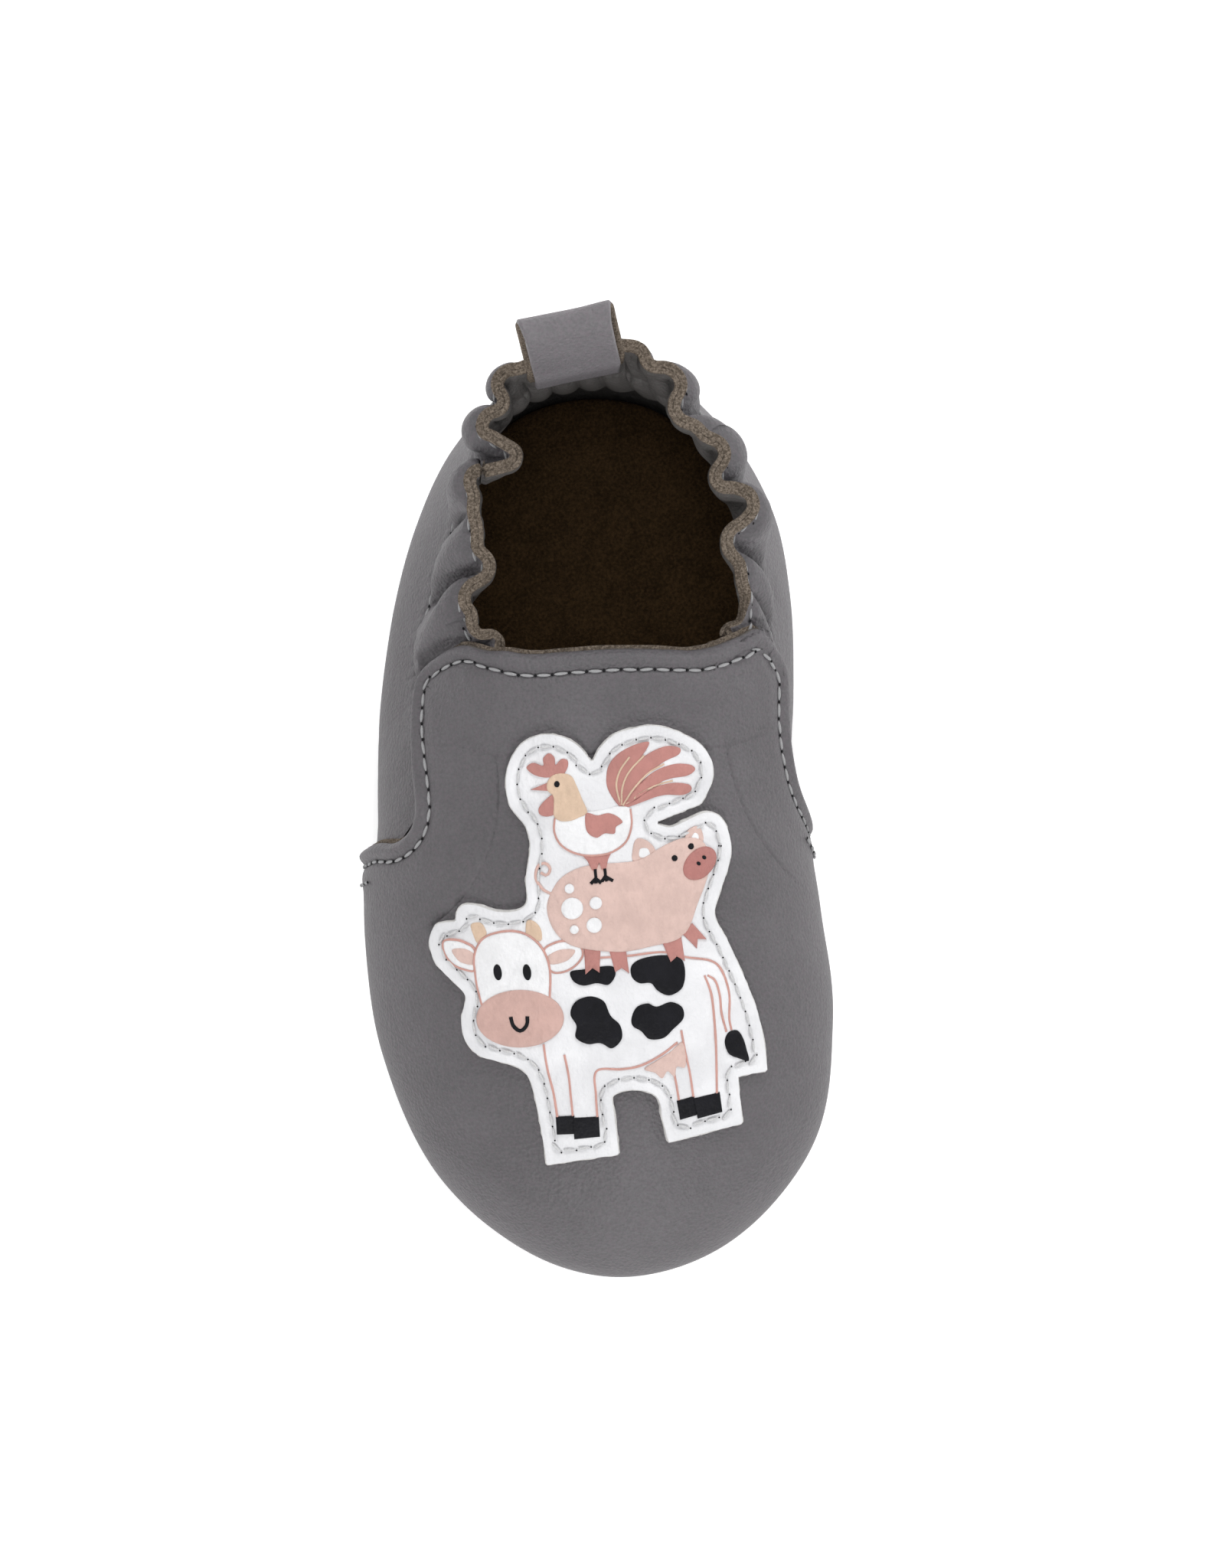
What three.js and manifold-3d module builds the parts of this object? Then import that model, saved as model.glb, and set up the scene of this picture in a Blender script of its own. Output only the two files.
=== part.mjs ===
// A soft-soled leather baby bootie: a vamp whose tongue laps over a gathered heel quarter, a pull loop at the heel,
// a stitched animal applique, and a sole of suede, foam and insole. Millimetres, +Z up, toe towards -Y.
// The origin is the centre of the sole's ground face.
import * as THREE from "three";
import { mergeVertices } from "three/addons/utils/BufferGeometryUtils.js";
import Module from "manifold-3d";

const wasm = await Module();
wasm.setup();

// Overall form
const halfWidth = 31.5;
const halfLength = 63;
const widestHeight = 10;
const throatHeight = 38;
const toeBoxRise = 16;
const toeBoxLength = 40;
const rimFrontHeight = 34;
const rimHeelHeight = 47;
const throatShare = 0.317;

// Sole
const outsoleThickness = 1.8;
const foamThickness = 3.6;
const insoleThickness = 1.5;
const seamInset = 5;
const flangeWidth = 6;
const layerGap = 0.3;
const padClearance = 0.5;
const insoleClearance = 2;

// Upper layers
const liningThickness = 0.6;
const elasticThickness = 0.5;
const quarterThickness = 1.2;
const vampLiningThickness = 0.5;
const vampThickness = 1.1;
const patchThickness = 0.8;
const threadThickness = 0.4;
const threadWidth = 0.7;

// Tongue
const hingeY = 0;
const hingeGap = 0.3;
const tongueHalfWidth = 26.5;
const tongueOverhang = 1.2;
const tongueCornerRadius = 6;
const tongueLowestZ = 13;
const stitchInset = 3.2;
const wingTurnRadius = 5.5;
const tackWidth = 0.004;
const quarterUnderlap = 7;
const wingSetBack = 2;
const rimEndUnderTongue = 3.2;
const underlapUnderTongue = 8.7;
const underlapWidth = 12;

// Collar
const elasticTop = 0.88;
const elasticBottom = 0.66;
const upperRow = 0.93;
const casingRow = 0.6;
const gatherReach = 0.35;
const elasticEnd = 0.27;
const rowEnd = 0.285;

// Heel loop
const loopWidth = 12.5;
const loopRise = 12.6;
const loopThickness = 1.1;
const loopHalfGap = 0.75;
const loopLean = THREE.MathUtils.degToRad(-20);
const loopSkew = -0.16;
const loopYaw = THREE.MathUtils.degToRad(5.5);
const loopStandOff = 1.2;
const loopRootHalfGap = 0.6;
const tailClearance = 0.25;

// Offsets from the form surface; every layer is spaced by the gap from the one inside it
const quarterOuter = 0.4;
const quarterInner = quarterOuter - quarterThickness;
const elasticOuter = quarterInner - layerGap;
const elasticInner = elasticOuter - elasticThickness;
const liningOuter = elasticInner - layerGap;
const liningInner = liningOuter - liningThickness;
const vampLiningInner = quarterOuter + layerGap;
const vampLiningOuter = vampLiningInner + vampLiningThickness;
const vampInner = vampLiningOuter + layerGap;
const vampOuter = vampInner + vampThickness;
const patchInner = vampOuter + layerGap;
const patchOuter = patchInner + patchThickness;
const tongueTopY = throatShare * halfLength + tongueOverhang;


// Footprint at its widest level, as shares of the half width and half length, from the toe round by the left side
const footprint = [
  [-0.016, -0.992], [-0.413, -0.933], [-0.787, -0.754], [-0.984, -0.492], [-1.025, -0.238], [-1.01, -0.048],
  [-0.99, 0.127], [-0.952, 0.302], [-0.867, 0.508], [-0.746, 0.69], [-0.556, 0.857], [-0.286, 0.971],
  [0.048, 1.008], [0.397, 0.968], [0.683, 0.841], [0.851, 0.667], [0.908, 0.476], [0.895, 0.27],
  [0.857, 0.095], [0.844, -0.063], [0.87, -0.254], [0.889, -0.492], [0.771, -0.746], [0.413, -0.93],
];
// The foot opening, in the same shares and order: the tongue's edge first, then the collar's rim
const opening = [
  [0.079, throatShare], [0, throatShare], [-0.079, throatShare], [-0.159, throatShare], [-0.238, throatShare], [-0.333, 0.325],
  [-0.429, 0.357], [-0.508, 0.429], [-0.492, 0.548], [-0.46, 0.683], [-0.397, 0.817], [-0.254, 0.93],
  [0, 0.973], [0.254, 0.965], [0.444, 0.865], [0.571, 0.738], [0.651, 0.611], [0.66, 0.476],
  [0.619, 0.381], [0.524, 0.333], [0.413, throatShare], [0.317, throatShare], [0.238, throatShare], [0.159, throatShare],
];
// Where the elastic gathers the collar: place round the rim, depth inwards, half width of the fold
const gathers = [
  [0.3, -0.8, 0.016], [0.33, 1.2, 0.016], [0.365, -0.5, 0.016], [0.397, 1.4, 0.017], [0.43, -0.8, 0.016],
  [0.57, -0.6, 0.016], [0.6, 1.2, 0.016], [0.628, -0.8, 0.015], [0.662, -1.1, 0.016], [0.695, 1, 0.018],
];
// The applique's outline on the plan, in millimetres: a cockerel on a pig on a cow
const patchOutline = [
  [-10.5, -10], [-10.7, -3.5], [-13, 2], [-12.5, 6.5], [-9, 8.8], [-5.5, 8.3], [-1.7, 4.5], [2.5, 8.5],
  [7.8, 9.5], [13.5, 7], [15.5, 3.2], [13, -1.2], [7, -3.3], [13.6, -2.4], [17, -6.7], [14.5, -15.5],
  [17.2, -25.3], [18.8, -30.4], [20, -38], [16, -38.2], [16.4, -44.8], [5.6, -46.4], [4.3, -40.3], [1.5, -38.9],
  [-1.1, -39.8], [-1, -47.1], [-11.1, -47.8], [-12.4, -38.3], [-13.5, -34.8], [-19.2, -32.5], [-21.2, -28],
  [-20.5, -24.5], [-25.2, -17], [-24, -14.6], [-20.5, -14], [-18, -12.2], [-11.3, -12.4],
];
const patchStitchInset = 2;

const leather = { color: 0x6a676a, roughness: 0.55, metalness: 0 };
const suede = { color: 0x7a6a5a, roughness: 0.95, metalness: 0 };
const liningLeather = { color: 0x3a3836, roughness: 0.85, metalness: 0 };
const brownSuede = { color: 0x23180e, roughness: 0.95, metalness: 0 };
const foam = { color: 0xd8d0c0, roughness: 0.9, metalness: 0 };
const whiteLeather = { color: 0xe6e6e9, roughness: 0.5, metalness: 0 };
const greyThread = { color: 0x8c898c, roughness: 0.8, metalness: 0 };
const elastic = { color: 0xd0ccc4, roughness: 0.8, metalness: 0 };

const group = new THREE.Group();

function addMesh(name, geometry, looks) {
  const mesh = new THREE.Mesh(geometry, new THREE.MeshStandardMaterial(looks));
  mesh.name = name;
  group.add(mesh);
  return mesh;
}

// Curves and the form surface

function closedCurve(shares) {
  const points = shares.map(([x, y]) => new THREE.Vector3(x * halfWidth, y * halfLength, 0));
  return new THREE.CatmullRomCurve3(points, true, "catmullrom", 0.5);
}

const footprintCurve = closedCurve(footprint);
const openingCurve = closedCurve(opening);

function around(curve, u) {
  return curve.getPoint(THREE.MathUtils.euclideanModulo(u, 1));
}

const footprintSamples = Array.from({ length: 720 }, (_, i) => around(footprintCurve, i / 720));
const toeY = Math.min(...footprintSamples.map((p) => p.y));

function widthAt(y) {
  let left = 0;
  let right = 0;
  footprintSamples.forEach((p, i) => {
    const q = footprintSamples[(i + 1) % footprintSamples.length];
    if ((p.y - y) * (q.y - y) > 0 || p.y === q.y) return;
    const x = p.x + ((q.x - p.x) * (y - p.y)) / (q.y - p.y);
    left = Math.min(left, x);
    right = Math.max(right, x);
  });
  return [left, right];
}

function ridgeHeight(y) {
  const throatY = throatShare * halfLength;
  const nearToe = THREE.MathUtils.clamp((y - toeY) / toeBoxLength, 0, 1);
  const alongVamp = THREE.MathUtils.clamp((y - toeY) / (throatY - toeY), 0, 2);
  const toeBox = toeBoxRise * Math.sqrt(1 - (1 - nearToe) ** 2);
  return widestHeight + toeBox + (throatHeight - widestHeight - toeBoxRise) * alongVamp ** 1.2;
}

function archHeight(x, y) {
  const [left, right] = widthAt(y);
  const half = Math.max((right - left) / 2, 1e-6);
  const side = Math.min(Math.abs(x - (left + right) / 2) / half, 1);
  return widestHeight + (ridgeHeight(y) - widestHeight) * Math.sqrt(Math.max(1 - side ** 2.2, 0));
}

// 0 where the upper is arched over the toes, 1 where it stands up as the quarter's wall
function quarterShare(u) {
  return THREE.MathUtils.smoothstep(around(footprintCurve, u).y, -4, 24);
}

function inwardAt(curve, u) {
  const along = around(curve, u + 1e-3).sub(around(curve, u - 1e-3)).normalize();
  return new THREE.Vector3(along.y, -along.x, 0);
}

// The turned-in flange lies on the outsole: the vamp's lies over the quarter's, behind it the quarter's alone
function flangeHeight(u) {
  const outermost = THREE.MathUtils.lerp(vampOuter, quarterOuter,
    THREE.MathUtils.smoothstep(around(footprintCurve, u).y, hingeY - 1, hingeY + 14));
  return outsoleThickness + layerGap + outermost;
}

function gatherDepth(u) {
  return gathers.reduce((sum, [at, depth, width]) => sum + depth * Math.exp(-(((u - at) / width) ** 2)), 0);
}

// v runs -1 at the flange's inner edge, 0 at the sole seam, 1 at the widest level, 2 at the rim or throat
function form(u, v) {
  const share = quarterShare(u);
  const foot = around(footprintCurve, u);
  if (v < 1) {
    const turn = (-Math.PI / 2) * (1 - Math.max(v, 0));
    const inset = seamInset * (1 - Math.cos(turn)) + flangeWidth * Math.max(-v, 0);
    foot.addScaledVector(inwardAt(footprintCurve, u), inset);
    foot.z = widestHeight + (widestHeight - flangeHeight(u)) * Math.sin(turn);
    return foot;
  }
  const rise = Math.min(v - 1, 1);
  const arched = 1 - Math.cos((rise * Math.PI) / 2);
  const wall = rise * rise * (3 - 2 * rise);
  const rim = around(openingCurve, u);
  const rimZ = THREE.MathUtils.lerp(rimFrontHeight, rimHeelHeight, THREE.MathUtils.smoothstep(rim.y, 14, 64));
  const point = foot.lerp(rim, (1 - share) * arched + share * wall);
  const gathered = share * THREE.MathUtils.smoothstep(rise, 1 - gatherReach, 1) * gatherDepth(u);
  point.addScaledVector(inwardAt(openingCurve, u), gathered);
  const wallZ = THREE.MathUtils.lerp(widestHeight, rimZ, rise);
  point.z = (1 - share) * archHeight(point.x, point.y) + share * wallZ;
  return point;
}

function offsetForm(u, v, offset) {
  const step = 2e-3;
  const alongU = form(u + step, v).sub(form(u - step, v));
  const alongV = form(u, Math.min(v + step, 2)).sub(form(u, Math.max(v - step, -1)));
  return form(u, v).addScaledVector(alongV.cross(alongU).normalize(), offset);
}

// Closed layers between two offsets of the form

const frontColumns = 24;
const backColumns = 48;
const columns = [
  ...Array.from({ length: frontColumns / 2 }, (_, i) => i / (2 * frontColumns)),
  ...Array.from({ length: backColumns }, (_, i) => 0.25 + i / (2 * backColumns)),
  ...Array.from({ length: frontColumns / 2 }, (_, i) => 0.75 + i / (2 * frontColumns)),
];
const allRows = [-1, 0, 0.3, 0.65, 1, 1.12, 1.3, 1.5, 1.68, 1.8, 1.9, 2];

function gridGeometry(us, vs, inner, outer, ring) {
  const positions = [];
  for (const offset of [inner, outer]) {
    for (const u of us) {
      for (const v of vs) positions.push(...offsetForm(u, v, offset).toArray());
    }
  }
  const last = vs.length - 1;
  const index = [];
  const at = (side, i, j) => side * us.length * vs.length + (i % us.length) * vs.length + j;
  const quad = (a, b, c, d) => index.push(a, b, c, a, c, d);
  const spans = ring ? us.length : us.length - 1;
  for (let i = 0; i < spans; i++) {
    for (let j = 0; j < last; j++) {
      quad(at(0, i, j), at(0, i + 1, j), at(0, i + 1, j + 1), at(0, i, j + 1));
      quad(at(1, i, j), at(1, i, j + 1), at(1, i + 1, j + 1), at(1, i + 1, j));
    }
    quad(at(0, i, 0), at(1, i, 0), at(1, i + 1, 0), at(0, i + 1, 0));
    quad(at(0, i, last), at(0, i + 1, last), at(1, i + 1, last), at(1, i, last));
  }
  if (!ring) {
    const end = us.length - 1;
    for (let j = 0; j < last; j++) {
      quad(at(0, 0, j), at(0, 0, j + 1), at(1, 0, j + 1), at(1, 0, j));
      quad(at(0, end, j), at(1, end, j), at(1, end, j + 1), at(0, end, j + 1));
    }
  }
  const geometry = new THREE.BufferGeometry();
  geometry.setAttribute("position", new THREE.Float32BufferAttribute(positions, 3));
  geometry.setIndex(index);
  geometry.computeVertexNormals();
  return geometry;
}

function layer(inner, outer, rows) {
  return gridGeometry(columns, rows, inner, outer, true);
}

function strip(uFrom, uTo, rows, inner, outer) {
  const us = columns.filter((u) => u > uFrom + 1e-6 && u < uTo - 1e-6);
  return gridGeometry([uFrom, ...us, uTo], rows, inner, outer, false);
}

// Booleans

function toSolid(geometry) {
  const bare = geometry.clone();
  bare.deleteAttribute("normal");
  bare.deleteAttribute("uv");
  const merged = mergeVertices(bare, 1e-5);
  return new wasm.Manifold(new wasm.Mesh({
    numProp: 3,
    vertProperties: new Float32Array(merged.attributes.position.array),
    triVerts: new Uint32Array(merged.index.array),
  }));
}

function toGeometry(solid) {
  const mesh = solid.getMesh();
  const geometry = new THREE.BufferGeometry();
  geometry.setAttribute("position", new THREE.BufferAttribute(new Float32Array(mesh.vertProperties), 3));
  geometry.setIndex(new THREE.BufferAttribute(new Uint32Array(mesh.triVerts), 1));
  geometry.computeVertexNormals();
  return geometry;
}

function prism(points, zFrom, zTo) {
  const shape = new THREE.Shape(points.map(([x, y]) => new THREE.Vector2(x, y)));
  const geometry = new THREE.ExtrudeGeometry(shape, { depth: zTo - zFrom, bevelEnabled: false });
  geometry.translate(0, 0, zFrom);
  return toSolid(geometry);
}

function cutLayer(solid, region) {
  return toGeometry(solid.intersect(region));
}

// Plan outlines

function clockwise(points) {
  return THREE.ShapeUtils.isClockWise(points.map(([x, y]) => new THREE.Vector2(x, y)));
}

function resample(points, spacing) {
  return points.flatMap(([x, y], i) => {
    const [nextX, nextY] = points[(i + 1) % points.length];
    const count = Math.max(1, Math.round(Math.hypot(nextX - x, nextY - y) / spacing));
    return Array.from({ length: count }, (_, k) => [x + ((nextX - x) * k) / count, y + ((nextY - y) * k) / count]);
  });
}

function distanceToOutline(x, y, points) {
  return Math.min(...points.map(([ax, ay], i) => {
    const [bx, by] = points[(i + 1) % points.length];
    const share = ((x - ax) * (bx - ax) + (y - ay) * (by - ay)) / ((bx - ax) ** 2 + (by - ay) ** 2);
    const t = THREE.MathUtils.clamp(share, 0, 1);
    return Math.hypot(x - ax - t * (bx - ax), y - ay - t * (by - ay));
  }));
}

// Moves an outline inwards and drops what would come nearer to the outline than the inset
function insetOutline(points, inset, spacing) {
  const side = clockwise(points) ? 1 : -1;
  const dense = resample(points, spacing);
  return dense.map(([x, y], i) => {
    const [bx, by] = dense[(i + 1) % dense.length];
    const [ax, ay] = dense[(i + dense.length - 1) % dense.length];
    const length = Math.hypot(bx - ax, by - ay);
    return [x + (side * inset * (by - ay)) / length, y - (side * inset * (bx - ax)) / length];
  }).filter(([x, y]) => distanceToOutline(x, y, points) > inset * 0.97);
}

function footprintAt(inset) {
  return Array.from({ length: 72 }, (_, i) => {
    const u = i / 72;
    const point = around(footprintCurve, u).addScaledVector(inwardAt(footprintCurve, u), inset);
    return [point.x, point.y];
  });
}

// The tongue's plan: straight sides, rounded rear corners, cut off at the hinge line
function tongueOutline(inset, frontY) {
  const half = tongueHalfWidth - inset;
  const top = tongueTopY - inset;
  const radius = tongueCornerRadius - inset;
  const corner = (centreX, startAngle) => Array.from({ length: 5 }, (_, i) => {
    const angle = startAngle - (i * Math.PI) / 8;
    return [centreX + radius * Math.cos(angle), top - radius + radius * Math.sin(angle)];
  });
  return [[-half, frontY], ...corner(radius - half, Math.PI), ...corner(half - radius, Math.PI / 2), [half, frontY]];
}

// Sole

function flatPiece(outline, bottom, thickness) {
  return toGeometry(prism(outline, bottom, bottom + thickness));
}

const insoleBottom = outsoleThickness + layerGap + foamThickness + layerGap;
addMesh("outsole", flatPiece(footprintAt(seamInset - 1), 0, outsoleThickness), suede);
addMesh("foam_pad", flatPiece(footprintAt(seamInset + flangeWidth + padClearance), outsoleThickness + layerGap,
  foamThickness), foam);
addMesh("insole", flatPiece(footprintAt(insoleClearance - liningInner), insoleBottom, insoleThickness), brownSuede);

// Vamp and its tongue

const farX = 2 * halfWidth;
const farY = 2 * halfLength;
const farZ = 2 * rimHeelHeight;
const wingY = hingeY - wingSetBack;
const vampRegion = prism([
  [-farX, -farY], [farX, -farY], [farX, wingY], [tongueHalfWidth + wingSetBack, wingY],
  [tongueHalfWidth, hingeY - hingeGap / 2], [-tongueHalfWidth, hingeY - hingeGap / 2],
  [-tongueHalfWidth - wingSetBack, wingY], [-farX, wingY],
], -5, farZ);
const tongueRegion = (inset) => prism(tongueOutline(inset, hingeY + hingeGap / 2), tongueLowestZ, farZ);

const vampLayer = toSolid(layer(vampInner, vampOuter, allRows));
const vampLiningLayer = toSolid(layer(vampLiningInner, vampLiningOuter, allRows.filter((v) => v > 0.2)));
addMesh("vamp", cutLayer(vampLayer, vampRegion), leather);
addMesh("vamp_tongue", cutLayer(vampLayer, tongueRegion(0)), leather);
addMesh("vamp_lining", cutLayer(vampLiningLayer, vampRegion), liningLeather);
addMesh("tongue_lining", cutLayer(vampLiningLayer, tongueRegion(0.7)), liningLeather);

// Quarter, its lining and the elastic between them

// The quarter's plan is a U whose two front ends reach in under the tongue
const underlapX = tongueHalfWidth - underlapWidth;
const openingX = underlapX - rimEndUnderTongue;
const insideY = halfLength * 0.6;
const frontY = hingeY - quarterUnderlap;
const quarterRegion = prism([
  [-farX, frontY], [-tongueHalfWidth - 4, frontY], [-underlapX, tongueTopY - underlapUnderTongue],
  [-openingX, tongueTopY - rimEndUnderTongue], [-openingX, insideY], [underlapX, insideY],
  [underlapX, tongueTopY - rimEndUnderTongue], [underlapX + 3, tongueTopY - underlapUnderTongue],
  [tongueHalfWidth + 3, frontY], [farX, frontY], [farX, farY], [-farX, farY],
], -5, farZ);
const quarterLayer = toSolid(layer(quarterInner, quarterOuter, allRows));
const liningRows = [0.65, 1, 1.12, 1.3, 1.5, 1.68, 1.8, 1.9, 1.97];
const liningLayer = toSolid(layer(liningInner, liningOuter, liningRows));
addMesh("quarter", cutLayer(quarterLayer, quarterRegion), leather);
addMesh("quarter_lining", cutLayer(liningLayer, quarterRegion), liningLeather);

const collarFrom = columns.find((u) => u > elasticEnd);
const collarTo = columns.findLast((u) => u < 1 - elasticEnd);
addMesh("collar_elastic", strip(collarFrom, collarTo, [1 + elasticBottom, 1.8, 1 + elasticTop], elasticInner,
  elasticOuter), elastic);

function stitchRow(name, row, uFrom, uTo) {
  const half = threadWidth / 2 / (rimHeelHeight - widestHeight);
  const outer = quarterOuter + layerGap + threadThickness;
  addMesh(name, strip(uFrom, uTo, [1 + row - half, 1 + row + half], quarterOuter + layerGap, outer), greyThread);
}
const rowFrom = columns.find((u) => u > rowEnd);
const rowTo = columns.findLast((u) => u < 1 - rowEnd);
stitchRow("collar_topstitch", upperRow, rowFrom, rowTo);
stitchRow("casing_stitch", casingRow, rowFrom, rowTo);

// Heel loop

function strapShape() {
  const middle = new THREE.CatmullRomCurve3([
    [-loopRootHalfGap, 0], [-loopHalfGap - loopThickness / 2, loopRise * 0.35], [-loopHalfGap - loopThickness / 2, loopRise * 0.8],
    [0, loopRise], [loopHalfGap + loopThickness / 2, loopRise * 0.8],
    [loopHalfGap + loopThickness / 2, loopRise * 0.35], [loopRootHalfGap, 0],
  ].map(([y, z]) => new THREE.Vector3(y, z, 0)), false, "centripetal");
  const sides = [[], []];
  for (let i = 0; i <= 24; i++) {
    const point = middle.getPointAt(i / 24);
    const along = middle.getTangentAt(i / 24);
    const rootShare = Math.min(1, 0.45 + point.y / 4);
    const half = (loopThickness / 2) * rootShare;
    sides[0].push(new THREE.Vector2(point.x - along.y * half, point.y + along.x * half));
    sides[1].push(new THREE.Vector2(point.x + along.y * half, point.y - along.x * half));
  }
  return new THREE.Shape([...sides[0], ...sides[1].reverse()]);
}

const rimAtHeel = offsetForm(0.5, 2, (quarterInner + liningOuter) / 2);
const strap = new THREE.ExtrudeGeometry(strapShape(), { depth: loopWidth, bevelEnabled: false });
strap.translate(0, 0, -loopWidth / 2);
strap.applyMatrix4(new THREE.Matrix4().set(0, loopSkew, 1, 0, 1, 0, 0, 0, 0, 1, 0, 0, 0, 0, 0, 1));
const loop = addMesh("heel_loop", strap, leather);
loop.position.set(rimAtHeel.x, rimAtHeel.y, rimAtHeel.z + loopStandOff);
loop.rotation.set(loopLean, 0, loopYaw, "ZYX");

const heelColumns = columns.filter((u) => Math.abs(u - 0.5) < 0.1 && Math.abs(around(openingCurve, u).x) < loopWidth / 2);
const tailInner = liningOuter + tailClearance;
addMesh("heel_loop_tails", strip(heelColumns[0], heelColumns.at(-1), [1.9, 1.98], tailInner,
  quarterInner - tailClearance), leather);

// Applique and its stitching

const patchLayer = toSolid(layer(patchInner, patchOuter, allRows.filter((v) => v > 0.9)));
const patchRegion = prism(patchOutline, 5, farZ);
const frontHalf = prism([[-farX, -farY], [farX, -farY], [farX, hingeY - hingeGap / 2], [-farX, hingeY - hingeGap / 2]],
  -5, farZ);
const rearHalf = prism([[-farX, hingeY + hingeGap / 2], [farX, hingeY + hingeGap / 2], [farX, farY], [-farX, farY]],
  -5, farZ);
const patch = patchLayer.intersect(patchRegion);
addMesh("patch_lower", cutLayer(patch, frontHalf), whiteLeather);
addMesh("patch_upper", cutLayer(patch, rearHalf), whiteLeather);

function threadBand(layerSolid, outline, inset, spacing) {
  const outer = prism(insetOutline(outline, inset - threadWidth / 2, spacing), 5, farZ);
  const inner = prism(insetOutline(outline, inset + threadWidth / 2, spacing), 5, farZ);
  return layerSolid.intersect(outer).subtract(inner);
}

const patchThreadInner = patchOuter + layerGap;
const patchThreadLayer = toSolid(layer(patchThreadInner, patchThreadInner + threadThickness,
  allRows.filter((v) => v > 0.9)));
const patchThread = threadBand(patchThreadLayer, patchOutline, patchStitchInset, 2.5);
addMesh("patch_stitch_lower", cutLayer(patchThread, frontHalf), greyThread);
addMesh("patch_stitch_upper", cutLayer(patchThread, rearHalf), greyThread);

// Topstitching of the tongue and tacks of the wings

const vampThreadInner = vampOuter + layerGap;
const vampThreadLayer = toSolid(layer(vampThreadInner, vampThreadInner + threadThickness,
  allRows.filter((v) => v > 0.9)));
const tongueSeam = threadBand(vampThreadLayer, tongueOutline(0, hingeY - 20), stitchInset, 4);
const aboveHinge = prism([
  [-farX, hingeY + hingeGap / 2], [farX, hingeY + hingeGap / 2], [farX, farY], [-farX, farY],
], tongueLowestZ, farZ);
addMesh("tongue_topstitch", cutLayer(tongueSeam, aboveHinge), greyThread);

// The same seam turns outwards below the hinge and runs to the wing's tack
function wingSeam(name, side) {
  const radius = wingTurnRadius;
  const centreX = tongueHalfWidth - stitchInset + radius;
  const arc = (r) => Array.from({ length: 7 }, (_, i) => {
    const angle = Math.PI + (i * Math.PI) / 12;
    return [side * (centreX + r * Math.cos(angle)), hingeY - hingeGap / 2 + r * Math.sin(angle)];
  });
  const band = [...arc(radius - threadWidth / 2), ...arc(radius + threadWidth / 2).reverse()];
  addMesh(name, cutLayer(vampThreadLayer, prism(band, tongueLowestZ, farZ)), greyThread);
}
wingSeam("wing_topstitch_left", -1);
wingSeam("wing_topstitch_right", 1);

function tack(name, u) {
  const rows = [1.02, 1.12, 1.2];
  addMesh(name, gridGeometry([u, u + tackWidth], rows, vampThreadInner, vampThreadInner + threadThickness, false),
    greyThread);
}
const wingU = (y, side) => {
  const steps = Array.from({ length: 400 }, (_, i) => (side < 0 ? 0.1 + i / 2000 : 0.9 - i / 2000));
  return steps.find((u) => around(footprintCurve, u).y > y);
};
tack("side_tack_left", wingU(hingeY - 5, -1));
tack("side_tack_right", wingU(hingeY - 5, 1));

export default group;
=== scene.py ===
import math
import bpy
import bmesh
import numpy as np
from mathutils import Matrix, Vector
from mathutils.bvhtree import BVHTree


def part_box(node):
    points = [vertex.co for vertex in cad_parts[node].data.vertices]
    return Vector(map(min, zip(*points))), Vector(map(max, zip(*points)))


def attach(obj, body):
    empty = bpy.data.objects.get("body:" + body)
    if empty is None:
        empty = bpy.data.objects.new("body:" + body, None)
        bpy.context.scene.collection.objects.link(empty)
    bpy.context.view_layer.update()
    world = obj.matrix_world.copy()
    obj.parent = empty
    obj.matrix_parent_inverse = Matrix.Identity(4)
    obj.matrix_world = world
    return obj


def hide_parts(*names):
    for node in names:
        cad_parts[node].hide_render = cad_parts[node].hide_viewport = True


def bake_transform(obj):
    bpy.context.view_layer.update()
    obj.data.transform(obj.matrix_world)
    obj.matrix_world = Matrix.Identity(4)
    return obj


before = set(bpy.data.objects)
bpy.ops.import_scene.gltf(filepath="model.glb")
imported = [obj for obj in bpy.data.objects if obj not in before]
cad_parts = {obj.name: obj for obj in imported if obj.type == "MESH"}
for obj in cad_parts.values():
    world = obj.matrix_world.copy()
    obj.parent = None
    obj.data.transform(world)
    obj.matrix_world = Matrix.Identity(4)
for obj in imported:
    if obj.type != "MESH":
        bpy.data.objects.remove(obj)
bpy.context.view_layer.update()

mm = 0.001  # everything below is worked out in millimetres and made in metres
scene = bpy.context.scene

# Camera, floor and light

studio = {
    "cameraPlace": (-9.5, -51.0, 648.0),
    "cameraRight": (0.99752, -0.06949, 0.01140),
    "cameraUp": (0.06822, 0.99377, 0.08814),
    "lens": 103.0,
    "floorSize": 6.0,
    "floorColour": (0.94, 0.94, 0.94),
    "floorGlow": 0.3,
    "skyStrength": 0.40,
    "lampSize": 0.5,
    "lampTarget": (0, 0, 0.03),
    "lamps": {  # place in metres, power in watts
        "topLight": ((0, 0.02, 1.1), 1.6),
        "frontLight": ((0, -1.05, 0.6), 8.8),
        "rightLight": ((1.1, 0.1, 0.55), 3.4),
        "backLight": ((0, 0.95, 0.8), 7.2),
        "leftLight": ((-0.95, 0, 0.6), 2.6),
        "backRightLight": ((0.75, 0.7, 0.7), 3.3),
    },
}


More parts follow.
